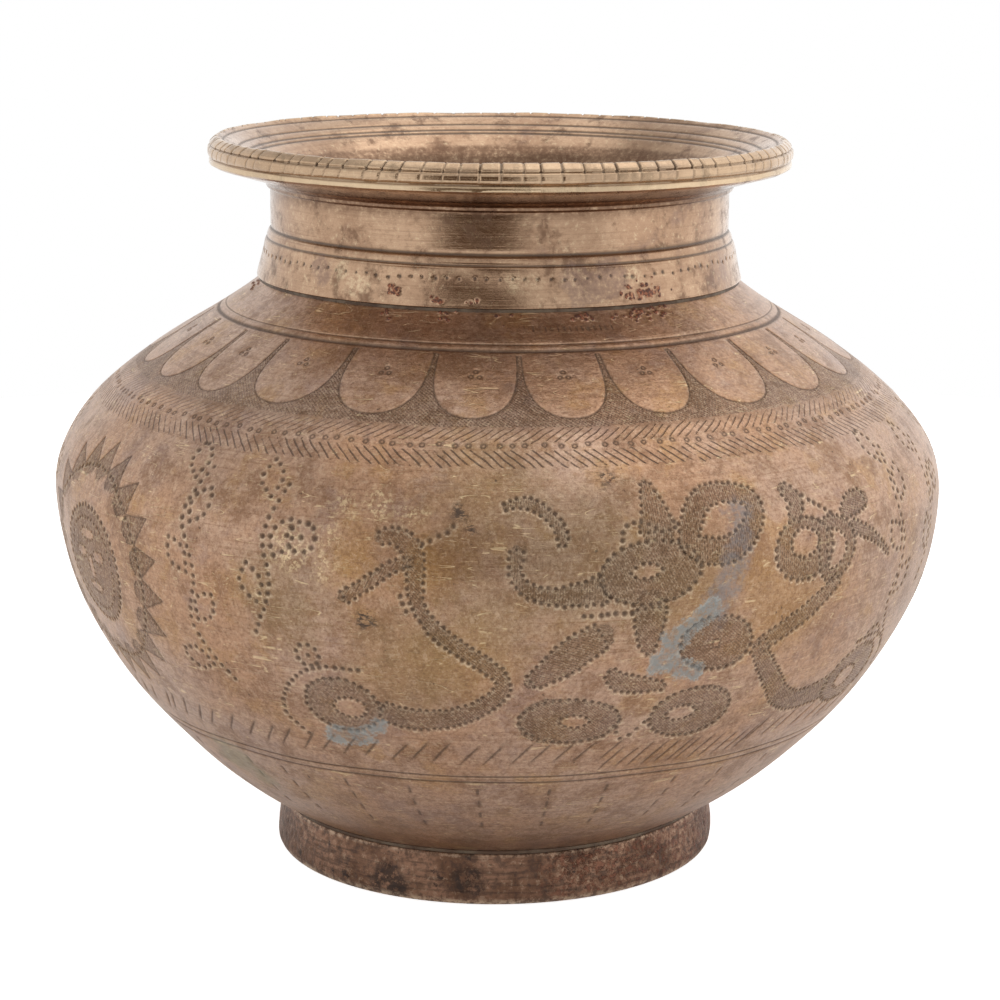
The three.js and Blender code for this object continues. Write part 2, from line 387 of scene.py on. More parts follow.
def thinned(points, feel, tolerance, root):
    # Binary halving of right triangles: a point is kept where the surface there differs from the middle of
    # its neighbours' line by more than the tolerance, and so are the points that it hangs on
    rows, columns = points.shape[0] - 1, points.shape[1]
    wide = np.concatenate([points, feel], -1)
    keep = np.zeros((rows + 1, columns), bool)

    def off(middle, before, after):
        return np.linalg.norm(middle - (before + after) / 2, axis=-1) > tolerance

    half = 1
    while half < root:
        step = 2 * half
        corner = wide[0::step, 0::step]
        across = wide[0::step, half::step]
        upwards = wide[half::step, 0::step]
        centre = wide[half::step, half::step]
        nextCorner = np.roll(corner, -1, 1)
        keep[0::step, half::step] |= off(across, corner, nextCorner)
        keep[half::step, 0::step] |= off(upwards, corner[:-1], corner[1:])
        if half >= 4:
            keep[0, half::step] = True
            keep[rows, half::step] = True
        squares = centre.shape[:2]
        even = (np.add.outer(np.arange(squares[0]), np.arange(squares[1])) % 2) == 0
        chosen = np.where(even, off(centre, corner[:-1], nextCorner[1:]),
                          off(centre, nextCorner[:-1], corner[1:]))
        level = keep[0::step, half::step]
        upright = keep[half::step, 0::step]
        chosen |= level[:-1] | level[1:] | upright | np.roll(upright, -1, 1)
        if step == root:
            chosen[:] = True
        keep[half::step, half::step] |= chosen
        chosen = keep[half::step, half::step]
        corners = np.zeros((squares[0] + 1, squares[1]), bool)
        main, anti = chosen & even, chosen & ~even
        corners[:-1] |= np.roll(main, 1, 1) | anti
        corners[1:] |= main | np.roll(anti, 1, 1)
        if step < root:
            keep[0::step, 0::step] |= corners
        half = step
    row, column = np.meshgrid(np.arange(0, rows, root), np.arange(0, columns, root), indexing="ij")
    low = np.stack([row.ravel(), column.ravel()], 1)
    a, b, c, d = low, low + [0, root], low + [root, root], low + [root, 0]
    centre = low + root // 2
    waiting = np.concatenate([np.stack([centre, p, q], 1) for p, q in ((a, b), (b, c), (c, d), (d, a))])
    done = []
    while len(waiting):
        total = waiting[:, 1] + waiting[:, 2]
        whole = (total % 2 == 0).all(1)
        middle = total // 2
        split = whole & keep[middle[:, 0], middle[:, 1] % columns]
        done.append(waiting[~split])
        parent, middle = waiting[split], middle[split]
        waiting = np.concatenate([np.stack([middle, parent[:, 0], parent[:, 1]], 1),
                                np.stack([middle, parent[:, 2], parent[:, 0]], 1)])
    triangles = np.concatenate(done)
    cells = triangles[..., 0] * columns + triangles[..., 1] % columns
    used, index = np.unique(cells, return_inverse=True)
    return used, index.reshape(-1, 3)


def reliefBand(field, tolerance=None):
    points = fieldPoints(field)
    hatch = field["hatch"]
    feel = np.stack([field["grime"] * relief["grimeWeight"], hatch * relief["hatchWeight"],
                     field["worn"] * relief["wornWeight"]], -1)
    used, faces = thinned(points, feel, tolerance or relief["tolerance"], relief["root"])
    columns = field["columns"]
    arcs = np.broadcast_to(field["arcs"][:, None], hatch.shape)
    grime = np.maximum(field["grime"], 0.25 * hatch)
    facts = {"marks": np.stack([arcs, grime, field["worn"]], -1),
             "hatch": np.stack([field["turnLines"], field["arcLines"], hatch], -1),
             "patina": np.stack([field["crust"] * 5, 0 * hatch, 0 * hatch], -1)}
    last = (points.shape[0] - 1) * columns
    firstRing = np.flatnonzero(used < columns)
    lastRing = np.flatnonzero(used >= last)
    band = {"points": points.reshape(-1, 3)[used], "faces": faces, "first": firstRing, "last": lastRing,
            "firstTheta": field["theta"][used[firstRing]],
            "lastTheta": field["theta"][used[lastRing] - last]}
    for layer in layers:
        band[layer] = facts[layer].reshape(-1, 3)[used]
    print("  relief band", len(faces), "triangles")
    return band


# Ornament: places are (degrees from the front, mm above the widest line); a third number is a half width in
# mm
ornament = {"dotPitch": 1.3, "dotRadius": 0.47, "edgePitch": 1.12, "edgeRadius": 0.4, "hatchPitch": 0.4,
            "petalTop": 42.0, "petalFoot": 27.3, "petalCount": 24, "petalGap": 0.4, "lineHalf": 0.2,
            "groundFoot": 24.2, "secondSet": 180}


def smoothPath(points, pitch, closed=False):
    # Catmull-Rom curve through the points, then stops at even lengths along it
    points = np.asarray(points, float)
    count = len(points)
    spans = np.arange(count if closed else count - 1)[:, None]
    share = np.linspace(0, 1, 12, endpoint=False)[None, :, None]
    p0, p1, p2, p3 = [points[(spans + k) % count if closed else np.clip(spans + k, 0, count - 1)]
                      for k in (-1, 0, 1, 2)]
    curve = p1 + 0.5 * share * (p2 - p0 + share * (2 * p0 - 5 * p1 + 4 * p2 - p3
                                                   + share * (3 * p1 - p0 - 3 * p2 + p3)))
    curve = np.concatenate([curve.reshape(-1, points.shape[1]), points[:1] if closed else points[-1:]])
    lengths = np.hypot(np.diff(curve[:, 0]) * beltDegree, np.diff(curve[:, 1]))
    travelled = np.concatenate([[0], np.cumsum(lengths)])
    stops = max(int(round(travelled[-1] / pitch)), 2)
    places = np.linspace(0, travelled[-1], stops + (0 if closed else 1), endpoint=not closed)
    return np.stack([np.interp(places, travelled, curve[:, k]) for k in range(points.shape[1])], 1)


def sideways(path, closed=False):
    # Unit vector square to the path, in degrees and mm
    if closed:
        step = np.roll(path, -1, 0) - np.roll(path, 1, 0)
    else:
        step = np.gradient(path, axis=0)
    x, y = step[:, 0] * beltDegree, step[:, 1]
    size = np.maximum(np.hypot(x, y), 1e-9)
    return np.stack([-y / size / beltDegree, x / size], 1)


dotList = []
hatchList = []
wipeList = []


def addDots(points, pitch=None, radius=None, closed=False):
    path = smoothPath(points, pitch or ornament["dotPitch"], closed)[:, :2]
    size = np.full(len(path), radius or ornament["dotRadius"])
    dotList.append(np.column_stack([path, size]))


def addHatch(path, closed, slant):
    # Straight pieces of the centre line with their half widths; slant turns the lines from upright, in
    # degrees
    onward = np.roll(path, -1, 0) if closed else path[1:]
    path = path if closed else path[:-1]
    crossing = 2 * math.pi * bellyRadius / ornament["hatchPitch"]
    turnLines = round(crossing * math.cos(math.radians(slant)))
    arcLines = math.sin(math.radians(slant)) / ornament["hatchPitch"]
    hatchList.append((path[:, :2], onward[:, :2], np.stack([path[:, 2], onward[:, 2]], 1), turnLines,
                      arcLines))


def addVine(points, closed=False, slant=45):
    # A hatched band with a row of punched dots along each edge
    path = smoothPath(points, 0.7, closed)
    addHatch(path, closed, slant)
    coarse = smoothPath(points, 1.6, closed)
    side = sideways(coarse, closed) * coarse[:, 2:]
    left, right = coarse[:, :2] + side, coarse[:, :2] - side
    if closed:
        addDots(left, ornament["edgePitch"], ornament["edgeRadius"], True)
        addDots(right, ornament["edgePitch"], ornament["edgeRadius"], True)
    else:
        addDots(np.concatenate([left, right[::-1]]), ornament["edgePitch"], ornament["edgeRadius"], True)


def oval(centre, radii, tilt, count=28):
    # Points of an ellipse turned by tilt degrees; radii in mm
    turn = around(count)
    level, upright = math.cos(math.radians(tilt)), math.sin(math.radians(tilt))
    x = radii[0] * np.cos(turn) * level - radii[1] * np.sin(turn) * upright
    y = radii[0] * np.cos(turn) * upright + radii[1] * np.sin(turn) * level
    return np.stack([centre[0] + x / beltDegree, centre[1] + y], 1)


def addLeaf(centre, radii, tilt, hole, holeRadii, slant=45):
    # A hatched oval with a clear eye: the band between two ovals, its centre line halfway and its width
    # theirs
    outer = oval(centre, radii, tilt)
    inner = oval(hole, holeRadii, tilt)
    gap = outer - inner
    half = np.hypot(gap[:, 0] * beltDegree, gap[:, 1]) / 2
    addHatch(smoothPath(np.column_stack([(outer + inner) / 2, half]), 0.7, True), True, slant)
    addDots(outer, ornament["dotPitch"], ornament["dotRadius"], True)
    if holeRadii[0] > 0.8:
        addDots(inner, ornament["edgePitch"], ornament["edgeRadius"], True)


def addBud(base, tip, width):
    # A pointed oval of dots between two points: half width = width sin(pi share)
    base, tip = np.asarray(base, float), np.asarray(tip, float)
    share = np.linspace(0, 1, 9)[:, None]
    line = base + (tip - base) * share
    side = sideways(line) * width * np.sin(math.pi * share)
    addDots(np.concatenate([line + side, (line - side)[-2:0:-1]]), 1.45, closed=True)


def addRosette(centre, radius, count=9):
    ring = oval(centre, (radius, radius), 0, count)
    dotList.append(np.column_stack([ring, np.full(count, 0.5)]))
    dotList.append(np.array([[centre[0], centre[1], 0.5]]))


# The scroll of vines, leaves and flowers across the front
addVine([(-13.5, 5.9, 0.9), (-11.5, 6.3, 1.3), (-9.7, 4.5, 1.5), (-9.2, 1, 1.3), (-9.2, -2.5, 1.1),
         (-8.4, -5.5, 1),
         (-6.6, -8.5, 1.3), (-4, -11.2, 1.3), (-1.5, -13.6, 1.3), (0.7, -16.3, 1.1), (0.2, -19.3, 1.4),
         (-2.5, -22.3, 1.5), (-6.5, -24.3, 1.8), (-11, -24.6, 2.1), (-14.3, -23.2, 1.8)])
addVine([(-10, 2.6, 0.8), (-12, 1.6, 0.9), (-14.5, -0.8, 0.9), (-17.6, -3.4, 1)], slant=-30)
addLeaf((-19.7, -23, 0), (6.6, 5.2), 0, (-18.6, -23.3), (2.9, 2))
addDots([(-16.7, -15.8), (-20, -15.7), (-23.5, -16.7), (-26.5, -20), (-28.3, -24), (-28, -27.5),
         (-26, -30.2)])
addDots([(-8.5, 5.3), (-7.3, 6.1), (-6, 7), (-5, 8)])
addDots([(-10.9, -2.8), (-10.6, -4), (-10.3, -5)])
addVine([(0.8, 11.2, 0.5), (3, 11.9, 0.9), (5, 10.8, 0.9), (6.6, 8.7, 0.9), (7.5, 6.3, 0.8),
         (7.2, 5.2, 0.5)], slant=0)
addVine([(2.2, 4.5, 1), (2, 1.5, 0.9), (3.2, -1.1, 1), (6, -2.3, 1.3), (9, -2.2, 1.7), (12, -1.4, 2.2)],
        slant=0)
addLeaf((17.6, 0.6, 0), (8, 4.8), 4, (17, 1), (2.4, 1.1), slant=30)
addDots([(14.2, 5.6), (14.4, 7), (15.2, 8), (16.6, 8.2), (18, 7.6), (19.2, 6.7)])
addVine([(18.6, 6.9, 2.7), (18.5, 9.5, 2.2), (18.3, 12, 1.5), (18, 14.4, 0.7)], slant=0)
addVine([(22.4, 4.9, 1.7), (23, 8.2, 1.7), (25, 11.2, 1.7), (28, 11.9, 1.6), (31.5, 10.4, 1.6),
         (31.2, 7, 1.6),
         (29, 4, 1.9), (26.8, 3, 2), (24.3, 3.4, 1.9)], closed=True, slant=0)
addVine([(17.7, -5, 2.5), (17.8, -8, 2.3), (17.9, -10.5, 1.6), (18.2, -12.4, 0.7)])
addDots([(9.8, -5.6), (12.5, -5.5), (15.5, -5.3)])
addVine([(12, -9, 2.2), (9.6, -11, 2.7), (7.2, -13.8, 2.5), (4.2, -16.8, 1.3)], slant=70)
addVine([(13.6, -15.3, 0.8), (15, -17.4, 1.7), (18, -18.3, 1.4), (20.8, -18.9, 0.7)])
addLeaf((9.4, -25, 0), (8.6, 4.6), -4, (10, -25), (2.6, 1.3), slant=50)
addLeaf((25.8, -25, 0), (7.6, 5), 0, (24.4, -24.8), (2.8, 1.5), slant=50)
addDots([(16, -25), (15.4, -26.6), (16.8, -29.4), (18.5, -27.6), (19.4, -26)], 1.6)
addLeaf((27, -12, 0), (6.6, 4.7), -10, (26.8, -12), (0.5, 0.3), slant=50)
addLeaf((38.6, 1.4, 0), (6.1, 4.9), 0, (38.6, 2.4), (2.9, 2.3), slant=0)
addVine([(36.9, 11, 1.2), (38.4, 8.8, 1.4), (37.2, 6.6, 1.3)], slant=20)
addDots([(39.5, 9.6), (41.5, 7.8), (43.5, 6.2)])
addVine([(41.9, 4.3, 1), (44.4, 4.4, 1.1), (46.4, 2.2, 1.1), (46.4, -1, 1.1), (44.5, -3.4, 1.1),
         (42.2, -3.1, 1),
         (41.6, 0.5, 0.9)], closed=True, slant=0)
addVine([(45.6, 5.5, 0.8), (48, 6.8, 1.9), (50.3, 7.1, 1.3)], slant=70)
addVine([(47.2, 3.5, 0.9), (49, 2.3, 1), (51.2, 1, 0.8), (53.5, -1, 0.5), (55.5, -3, 0.4)], slant=70)
addVine([(44.6, -4.6, 1.1), (42, -7.2, 1.4), (39, -9.6, 1.5), (36.5, -11.4, 1.6), (33.6, -13.6, 1.5)])
addVine([(33.2, -13.4, 1.4), (35.2, -17.3, 1.6), (38, -21.5, 1.8), (40.5, -25, 1.9), (43.5, -26.8, 2),
         (47, -27, 2.3), (50.6, -26.4, 2.7)])
addLeaf((56, -25, 0), (7.6, 5.8), 0, (55, -25.4), (2.8, 2.4), slant=70)
addDots([(53.5, -18.2), (57.5, -17.8), (61, -19), (64, -22.5), (65, -26)])

def addSprig(points, leaves, length):
    # A stem of dots with pointed leaves standing out from it to both sides in turn
    addDots(points, 1.5)
    stem = smoothPath(points, 1.0)
    side = sideways(stem)
    for k in range(leaves):
        at = min(int(len(stem) * (k + 0.4) / leaves), len(stem) - 2)
        out = side[at] * (1 if k % 2 else -1)
        ahead = (stem[at] - stem[at + 1]) * 0.9
        addBud(stem[at] + out * 1.6, stem[at] + (out + ahead) * length, 1.9)


# Two leafy sprigs and rosettes to the left of the scroll, to its right, and in the gap before the next sun
for place in (-33, 65, 91):
    addSprig([(place - 5, 14), (place - 7, 6), (place - 5, -3), (place - 6.5, -12), (place - 2, -21)], 5,
             5.6)
    addSprig([(place + 7, 13), (place + 5, 5), (place + 6, -3), (place + 3.5, -11)], 3, 5.4)
    addRosette((place + 10, 5), 2.3, 10)
    addRosette((place + 10, -14), 1.9)

# The sun at the left end: a dotted rim, hatched flames, and a plain round face made of a few clear ovals
sun = {"centre": (-60.4, -7.2), "rim": 16.6, "flames": 20, "flame": 4.7, "flameHalf": 2.5, "face": 9.6}
addDots(oval(sun["centre"], (sun["rim"] - 0.3, sun["rim"] - 0.3), 0, 40), 1.35, closed=True)
addLeaf(sun["centre"], (sun["face"], sun["face"]), 0, sun["centre"], (0.3, 0.3), slant=0)
sunAngle = around(sun["flames"]) + 0.1
cutStarts, cutEnds = [], []


def onSun(angle, away):
    return np.stack([sun["centre"][0] + away * np.sin(angle) / beltDegree,
                     sun["centre"][1] + away * np.cos(angle)], 1)


flameStep = math.pi / sun["flames"]
tips = onSun(sunAngle, sun["rim"] + sun["flame"])
cutStarts += [onSun(sunAngle - flameStep, sun["rim"]), onSun(sunAngle + flameStep, sun["rim"])]
cutEnds += [tips, tips]
bases = onSun(sunAngle, sun["rim"])
crossing = round(2 * math.pi * bellyRadius / ornament["hatchPitch"])
hatchList.append((bases, tips, np.tile([sun["flameHalf"], 0.1], (sun["flames"], 1)), crossing, 0))
addDots(oval(sun["centre"], (sun["face"] - 1.9, sun["face"] - 1.9), 0, 30), 1.15, 0.34, closed=True)
for aside, drop, size in ((-3.3, 1.6, (1.6, 0.7)), (3.3, 1.6, (1.6, 0.7)), (0, -0.6, (0.5, 1.7)),
                          (0, -4, (1.9, 0.5)),
                          (0, 5, (2.2, 0.6))):
    spot = (sun["centre"][0] + aside / beltDegree, sun["centre"][1] + drop)
    addDots(oval(spot, (size[0] + 0.4, size[1] + 0.4), 0), 1.0, 0.28, closed=True)
    reach = max(size[0] - size[1], 0) / beltDegree, max(size[1] - size[0], 0)
    wipeList.append(((spot[0] - reach[0], spot[1] - reach[1]), (spot[0] + reach[0], spot[1] + reach[1]),
                     min(size)))


def twice(values, columns=(0,)):
    # The same ornament again on the far side
    again = np.array(values, float)
    again[:, list(columns)] += ornament["secondSet"]
    return np.concatenate([values, again])


dots = twice(np.concatenate(dotList))
dots[:, 0] += chance.normal(0, 0.05, len(dots))
dots[:, 1] += chance.normal(0, 0.06, len(dots))
dots[:, 2] *= chance.uniform(0.88, 1.14, len(dots))
dots = np.column_stack([dots, chance.uniform(0.7, 1.15, len(dots))])
sunCuts = twice(np.column_stack([np.concatenate(cutStarts), np.concatenate(cutEnds)]), (0, 2))
print("ornament", len(dots), "dots")

# Petals round the shoulder: half width share = (1 - t^3.2)^(1 / 2.1), t from 0 at the groove to 1 at the
# tip
petalEdges = np.array([-57.2, -43.5, -27.3, -11.4, 3.6, 18.3, 32.8, 49, 64.6])
extra = ornament["petalCount"] - len(petalEdges) + 1
petalEdges = np.concatenate([petalEdges, 64.6 + (360 - 57.2 - 64.6) / extra * np.arange(1, extra)])
petalMiddle = (petalEdges + np.append(petalEdges[1:], petalEdges[0] + 360)) / 2
petalHalf = (np.append(petalEdges[1:], petalEdges[0] + 360) - petalEdges) / 2 - ornament["petalGap"]


def petalShare(arc):
    t = np.clip((ornament["petalTop"] - arc) / (ornament["petalTop"] - ornament["petalFoot"]), 0, 1)
    return (1 - t ** 3.2) ** (1 / 2.1)


petalTurn = np.linspace(0, math.pi / 2, 19)
petalArc = ornament["petalTop"] - (ornament["petalTop"] - ornament["petalFoot"]) * np.sin(petalTurn)
petalSide = petalHalf[:, None] * petalShare(petalArc)
petalTurns = np.concatenate([petalMiddle[:, None] - petalSide, (petalMiddle[:, None] + petalSide)[:, ::-1]],
                            1)
petalArcs = np.broadcast_to(np.concatenate([petalArc, petalArc[::-1]]), petalTurns.shape)
petalLines = np.stack([petalTurns, petalArcs], -1)


def leaning(first, last, pitch, low, high, run, wander=0.12):
    # A row of slanting strokes: from (theta, low) to (theta + run, high)
    theta = np.arange(first, last, pitch)
    theta = theta + chance.normal(0, wander * pitch, len(theta))
    lows = low + chance.normal(0, 0.2, len(theta))
    highs = high + chance.normal(0, 0.25, len(theta))
    return np.stack([theta, lows, theta + run, highs], 1)


ringRow = np.arange(-180, 180, 2.0)
ringRow = np.stack([ringRow + chance.normal(0, 0.2, len(ringRow)),
                    21.8 + chance.normal(0, 0.15, len(ringRow)),
                    np.full(len(ringRow), 0.5), chance.uniform(0.6, 1, len(ringRow))], 1)
trefoils = np.concatenate([np.stack([petalMiddle + aside, 36.8 + rise + 0 * petalMiddle,
                                     np.full(len(petalMiddle), 0.45), np.full(len(petalMiddle), 0.8)], 1)
                           for aside, rise in ((-0.7, -0.4), (0.7, -0.4), (0, 0.7))])
lowStrokes = np.concatenate([leaning(-180, 15, 3.3, -34.4, -29.6, 3), leaning(15, 38, 2, -36.6, -31, 3),
                             leaning(38, 180, 3.3, -34.4, -29.6, 3)])
dashAngles = np.concatenate([np.arange(-33.5, 56, 10.3), np.arange(66, 320, 10.4)])
dashAngles = dashAngles + chance.normal(0, 0.8, len(dashAngles))
dashes = np.concatenate([np.stack([dashAngles + 0.1 * k, -41.3 - 3.9 * k + 0 * dashAngles,
                                   dashAngles + 0.1 * k,
                                   -43.6 - 3.9 * k + 0 * dashAngles], 1) for k in range(4)])


def chase(field):
    # Everything that is cut or punched into this part of the wall
    arcs, theta = field["arcs"], np.degrees(field["theta"])
    if arcs[-1] > ornament["groundFoot"]:
        wrapped = (theta - petalEdges[0]) % 360 + petalEdges[0]
        petal = np.clip(np.searchsorted(petalEdges, wrapped, side="right") - 1, 0, len(petalEdges) - 1)
        across = np.abs(wrapped - petalMiddle[petal]) / petalHalf[petal]
        outside = across[None, :] > petalShare(arcs)[:, None]
        ground = outside & (arcs[:, None] > ornament["groundFoot"]) & (arcs[:, None] < ornament["petalTop"])
        field["hatch"][ground] = 1
        field["turnLines"][ground] = 560
        field["arcLines"][ground] = 1.6
        starts, ends = petalLines[:, :-1].reshape(-1, 2), petalLines[:, 1:].reshape(-1, 2)
        stampCuts(field, starts, ends, ornament["lineHalf"], 0.13, 0)
    for starts, ends, widths, turnLines, arcLines in hatchList:
        for turn in (0, ornament["secondSet"]):
            stampHatch(field, starts + [turn, 0], ends + [turn, 0], widths, turnLines, arcLines)
    for start, end, half in wipeList:
        for turn in (0, ornament["secondSet"]):
            stampWipe(field, np.array([start]) + [turn, 0], np.array([end]) + [turn, 0], half)
    stampCuts(field, lowStrokes[:, :2], lowStrokes[:, 2:], 0.27, 0.17, 0.35)
    stampCuts(field, dashes[:, :2], dashes[:, 2:], 0.32, 0.17, 0.35)
    stampCuts(field, sunCuts[:, :2], sunCuts[:, 2:], 0.22, 0.11, 0)
    stampRings(field, ringRow)
    stampRings(field, trefoils)
    stampDots(field, dots)


def grooved(low, high, grooves, step=0.8):
    # Rows close together at each groove; the groove is a smooth dip: depth exp(-((arc - middle) / half)^2)
    stops = [np.arange(low, high, step), [high]]
    for middle, half, depth in grooves:
        stops.append(middle + half * np.array([-2, -1.2, -0.7, 0, 0.7, 1.2, 2]))
    stops = np.unique(np.round(np.concatenate(stops), 3))
    dip = sum(depth * np.exp(-((stops - middle) / half) ** 2) for middle, half, depth in grooves)
    return stops, dip


def wallGrooves(low, high, grooves, columns):
    arcs, dip = grooved(low, high, grooves)
    theta = around(columns)[None, :]
    outline = np.stack([wallAt(arcs, "radius"), wallAt(arcs, "height")], 1)
    lift = dents(theta, arcs[:, None]) - dip[:, None]
    facts = np.zeros((len(arcs), columns, 3))
    facts[..., 0] = arcs[:, None]
    facts[..., 1] = np.clip(dip[:, None] * 6 - 0.1, 0, 0.85)
    facts[..., 2] = 0.3 * np.exp(-((dip[:, None] - 0.03) / 0.012) ** 2)
    return plainBand(outline, columns, lift, {"marks": facts})


groove = {"columns": 384, "shoulder": [(42.3, 0.32, 0.22), (43.8, 0.16, 0.12)],
          "foot": [(-37.9, 0.24, 0.16), (-39.5, 0.26, 0.18)]}


def upperBody():
    # Outside from the widest line to the collar's seat, then the spigot, and down the inside
    fine = newField(0, 41.2, 208, relief["fineColumns"])
    chase(fine)
    top = arcAt(seatHeight - 0.02)
    throat = newField(45.2, top, 48, relief["lowColumns"])
    crusts(throat)
    shoulderEnd = wallAt(top, "radius")
    inside = np.linspace(1, 0, 20) ** 0.7
    arcs = inside * arcAt(seatHeight - 2)
    inner = np.stack([wallAt(arcs, "radius") - body["thickness"] * wallAt(arcs, "outR"),
                      wallAt(arcs, "height") - body["thickness"] * wallAt(arcs, "outZ")], 1)
    inner = inner[inner[:, 1] > bellyHeight + body["jointBevel"] * 1.3]
    spigot = rounded([(shoulderEnd, seatHeight, 0), (body["spigotRadius"], seatHeight, 0.2),
                      (body["spigotRadius"], spigotTop, 0.4), (body["bore"], spigotTop, 0.4),
                      (body["bore"], seatHeight, 0), tuple(inner[0]) + (0,)])
    bevel = [(bellyRadius - body["thickness"], bellyHeight + body["jointBevel"]),
             (bellyRadius - body["thickness"] + body["jointBevel"], bellyHeight)]
    return joined("upperBody", [
        reliefBand(fine), wallGrooves(41.6, 44.9, groove["shoulder"], groove["columns"]),
        reliefBand(throat), plainBand(spigot, 192),
        plainBand(np.concatenate([inner[1:], bevel]), 192)])


def crusts(field):
    # Red-brown crusts about the collar's joint: heaps of small round lumps
    clumps = ((33, 49.5, 3.4, 60), (18, 49.8, 1.6, 22), (0.5, 50, 0.8, 6), (-25, 49.9, 1, 9),
              (-12, 50, 1, 12),
              (205, 49.6, 3, 40), (120, 50, 2, 20), (-80, 50, 2, 20))
    lumps = np.concatenate([np.stack([chance.normal(theta, spread, count), chance.normal(arc, 0.75, count),
                                      chance.uniform(0.16, 0.42, count), np.ones(count)], 1)
                            for theta, arc, spread, count in clumps])
    cell, mark, distance, _ = nearMarks(field, lumps[:, :2], lumps[:, :2], 0.6)
    size = distance / lumps[mark, 2]
    np.maximum.at(field["crust"].ravel(), cell,
                  0.5 * lumps[mark, 2] * np.sqrt(np.clip(1 - size ** 2, 0, 1)))
    ticks = np.arange(7, 25, 1.3)
    ticks = np.stack([ticks, 46.7 + 0 * ticks, ticks, 47.7 + 0 * ticks], 1)
    stampCuts(field, ticks[:, :2], ticks[:, 2:], 0.17, 0.08, 0)


def lowerBody():
    # Underside and boss inside the foot, the outside up to the widest line, and down the inside to the
    # floor
    seatArc = arcAt(footTop)
    base = newField(seatArc + 0.35, -40.9, 160, relief["lowColumns"])
    chase(base)
    belt = newField(-36.9, 0, 160, relief["fineColumns"])
    chase(belt)
    seat = body["seatRadius"]
    underside = rounded([(6, floorHeight, 0), (body["floorRadius"], floorHeight, 1.5),
                         (body["bossRadius"], floorHeight + 1.6, 0.4), (body["bossRadius"], footTop, 0.1),
                         (seat, footTop, 0)])
    arcs = -np.sin(np.linspace(0, math.pi / 2, 22)) * -arcAt(floorHeight + 1.2)
    inner = np.stack([wallAt(arcs, "radius") - body["thickness"] * wallAt(arcs, "outR"),
                      wallAt(arcs, "height") - body["thickness"] * wallAt(arcs, "outZ")], 1)
    inner = inner[inner[:, 1] < bellyHeight - body["jointBevel"] * 1.3]
    inner = inner[inner[:, 1] > floorHeight + body["thickness"] + 0.3]
    bevel = [(bellyRadius - body["thickness"] + body["jointBevel"], bellyHeight),
             (bellyRadius - body["thickness"], bellyHeight - body["jointBevel"])]
    floor = [(inner[-1, 0] - 2.5, floorHeight + body["thickness"]), (12, floorHeight + body["thickness"])]
    return joined("lowerBody", [
        pole(floorHeight), plainBand(spaced(underside, 2.5), 128), reliefBand(base),
        wallGrooves(-40.6, -37.2, groove["foot"], groove["columns"]), reliefBand(belt),
        plainBand(np.concatenate([bevel, inner, floor]), 192), pole(floorHeight + body["thickness"])],
                  closed=False)


collar = {"fit": 0.15, "reach": 40.87, "skirtTop": 39.3, "skirtHigh": 105, "skirtSlope": 0.24,
          "dotHeight": 103.5, "dots": 124, "rimEdge": 4.6,
          "notches": 98,
          "dishGrooves": (46.2, 43.7, 42.2, 41.4)}


def notchedEdge(outline, columns):
    # Cuts across the rim's edge: depth (1 - (distance / half width)^2) about unevenly spaced angles
    centres = (np.arange(collar["notches"]) + chance.normal(0, 0.16,
                                                            collar["notches"])) * 360 / collar["notches"]
    halves = chance.uniform(0.15, 0.24, collar["notches"])
    depths = chance.uniform(0.16, 0.32, collar["notches"])
    arc = np.concatenate([[0], np.cumsum(np.hypot(*np.diff(outline, axis=0).T))])
    theta = np.degrees(around(columns))[None, :]
    slant = 0.8 * np.clip(-np.sin(np.radians(theta)), 0, 1)
    turned = (theta - slant * (arc[:, None] - arc.mean()) + 90) % 360 - 90
    tiled = np.concatenate([centres[-3:] - 360, centres, centres[:3] + 360])
    order = np.argsort(tiled)
    tiled = tiled[order]
    which = np.concatenate([np.arange(-3, 0), np.arange(len(centres)), np.arange(3)])[order]
    turned = turned % 360
    right = np.clip(np.searchsorted(tiled, turned), 1, len(tiled) - 1)
    nearer = np.where(tiled[right] - turned < turned - tiled[right - 1], right, right - 1)
    distance = np.abs(turned - tiled[nearer]) * rimRadius * math.pi / 180
    size = distance / halves[which[nearer]]
    return depths[which[nearer]] * np.clip(1 - size ** 2, 0, 1)


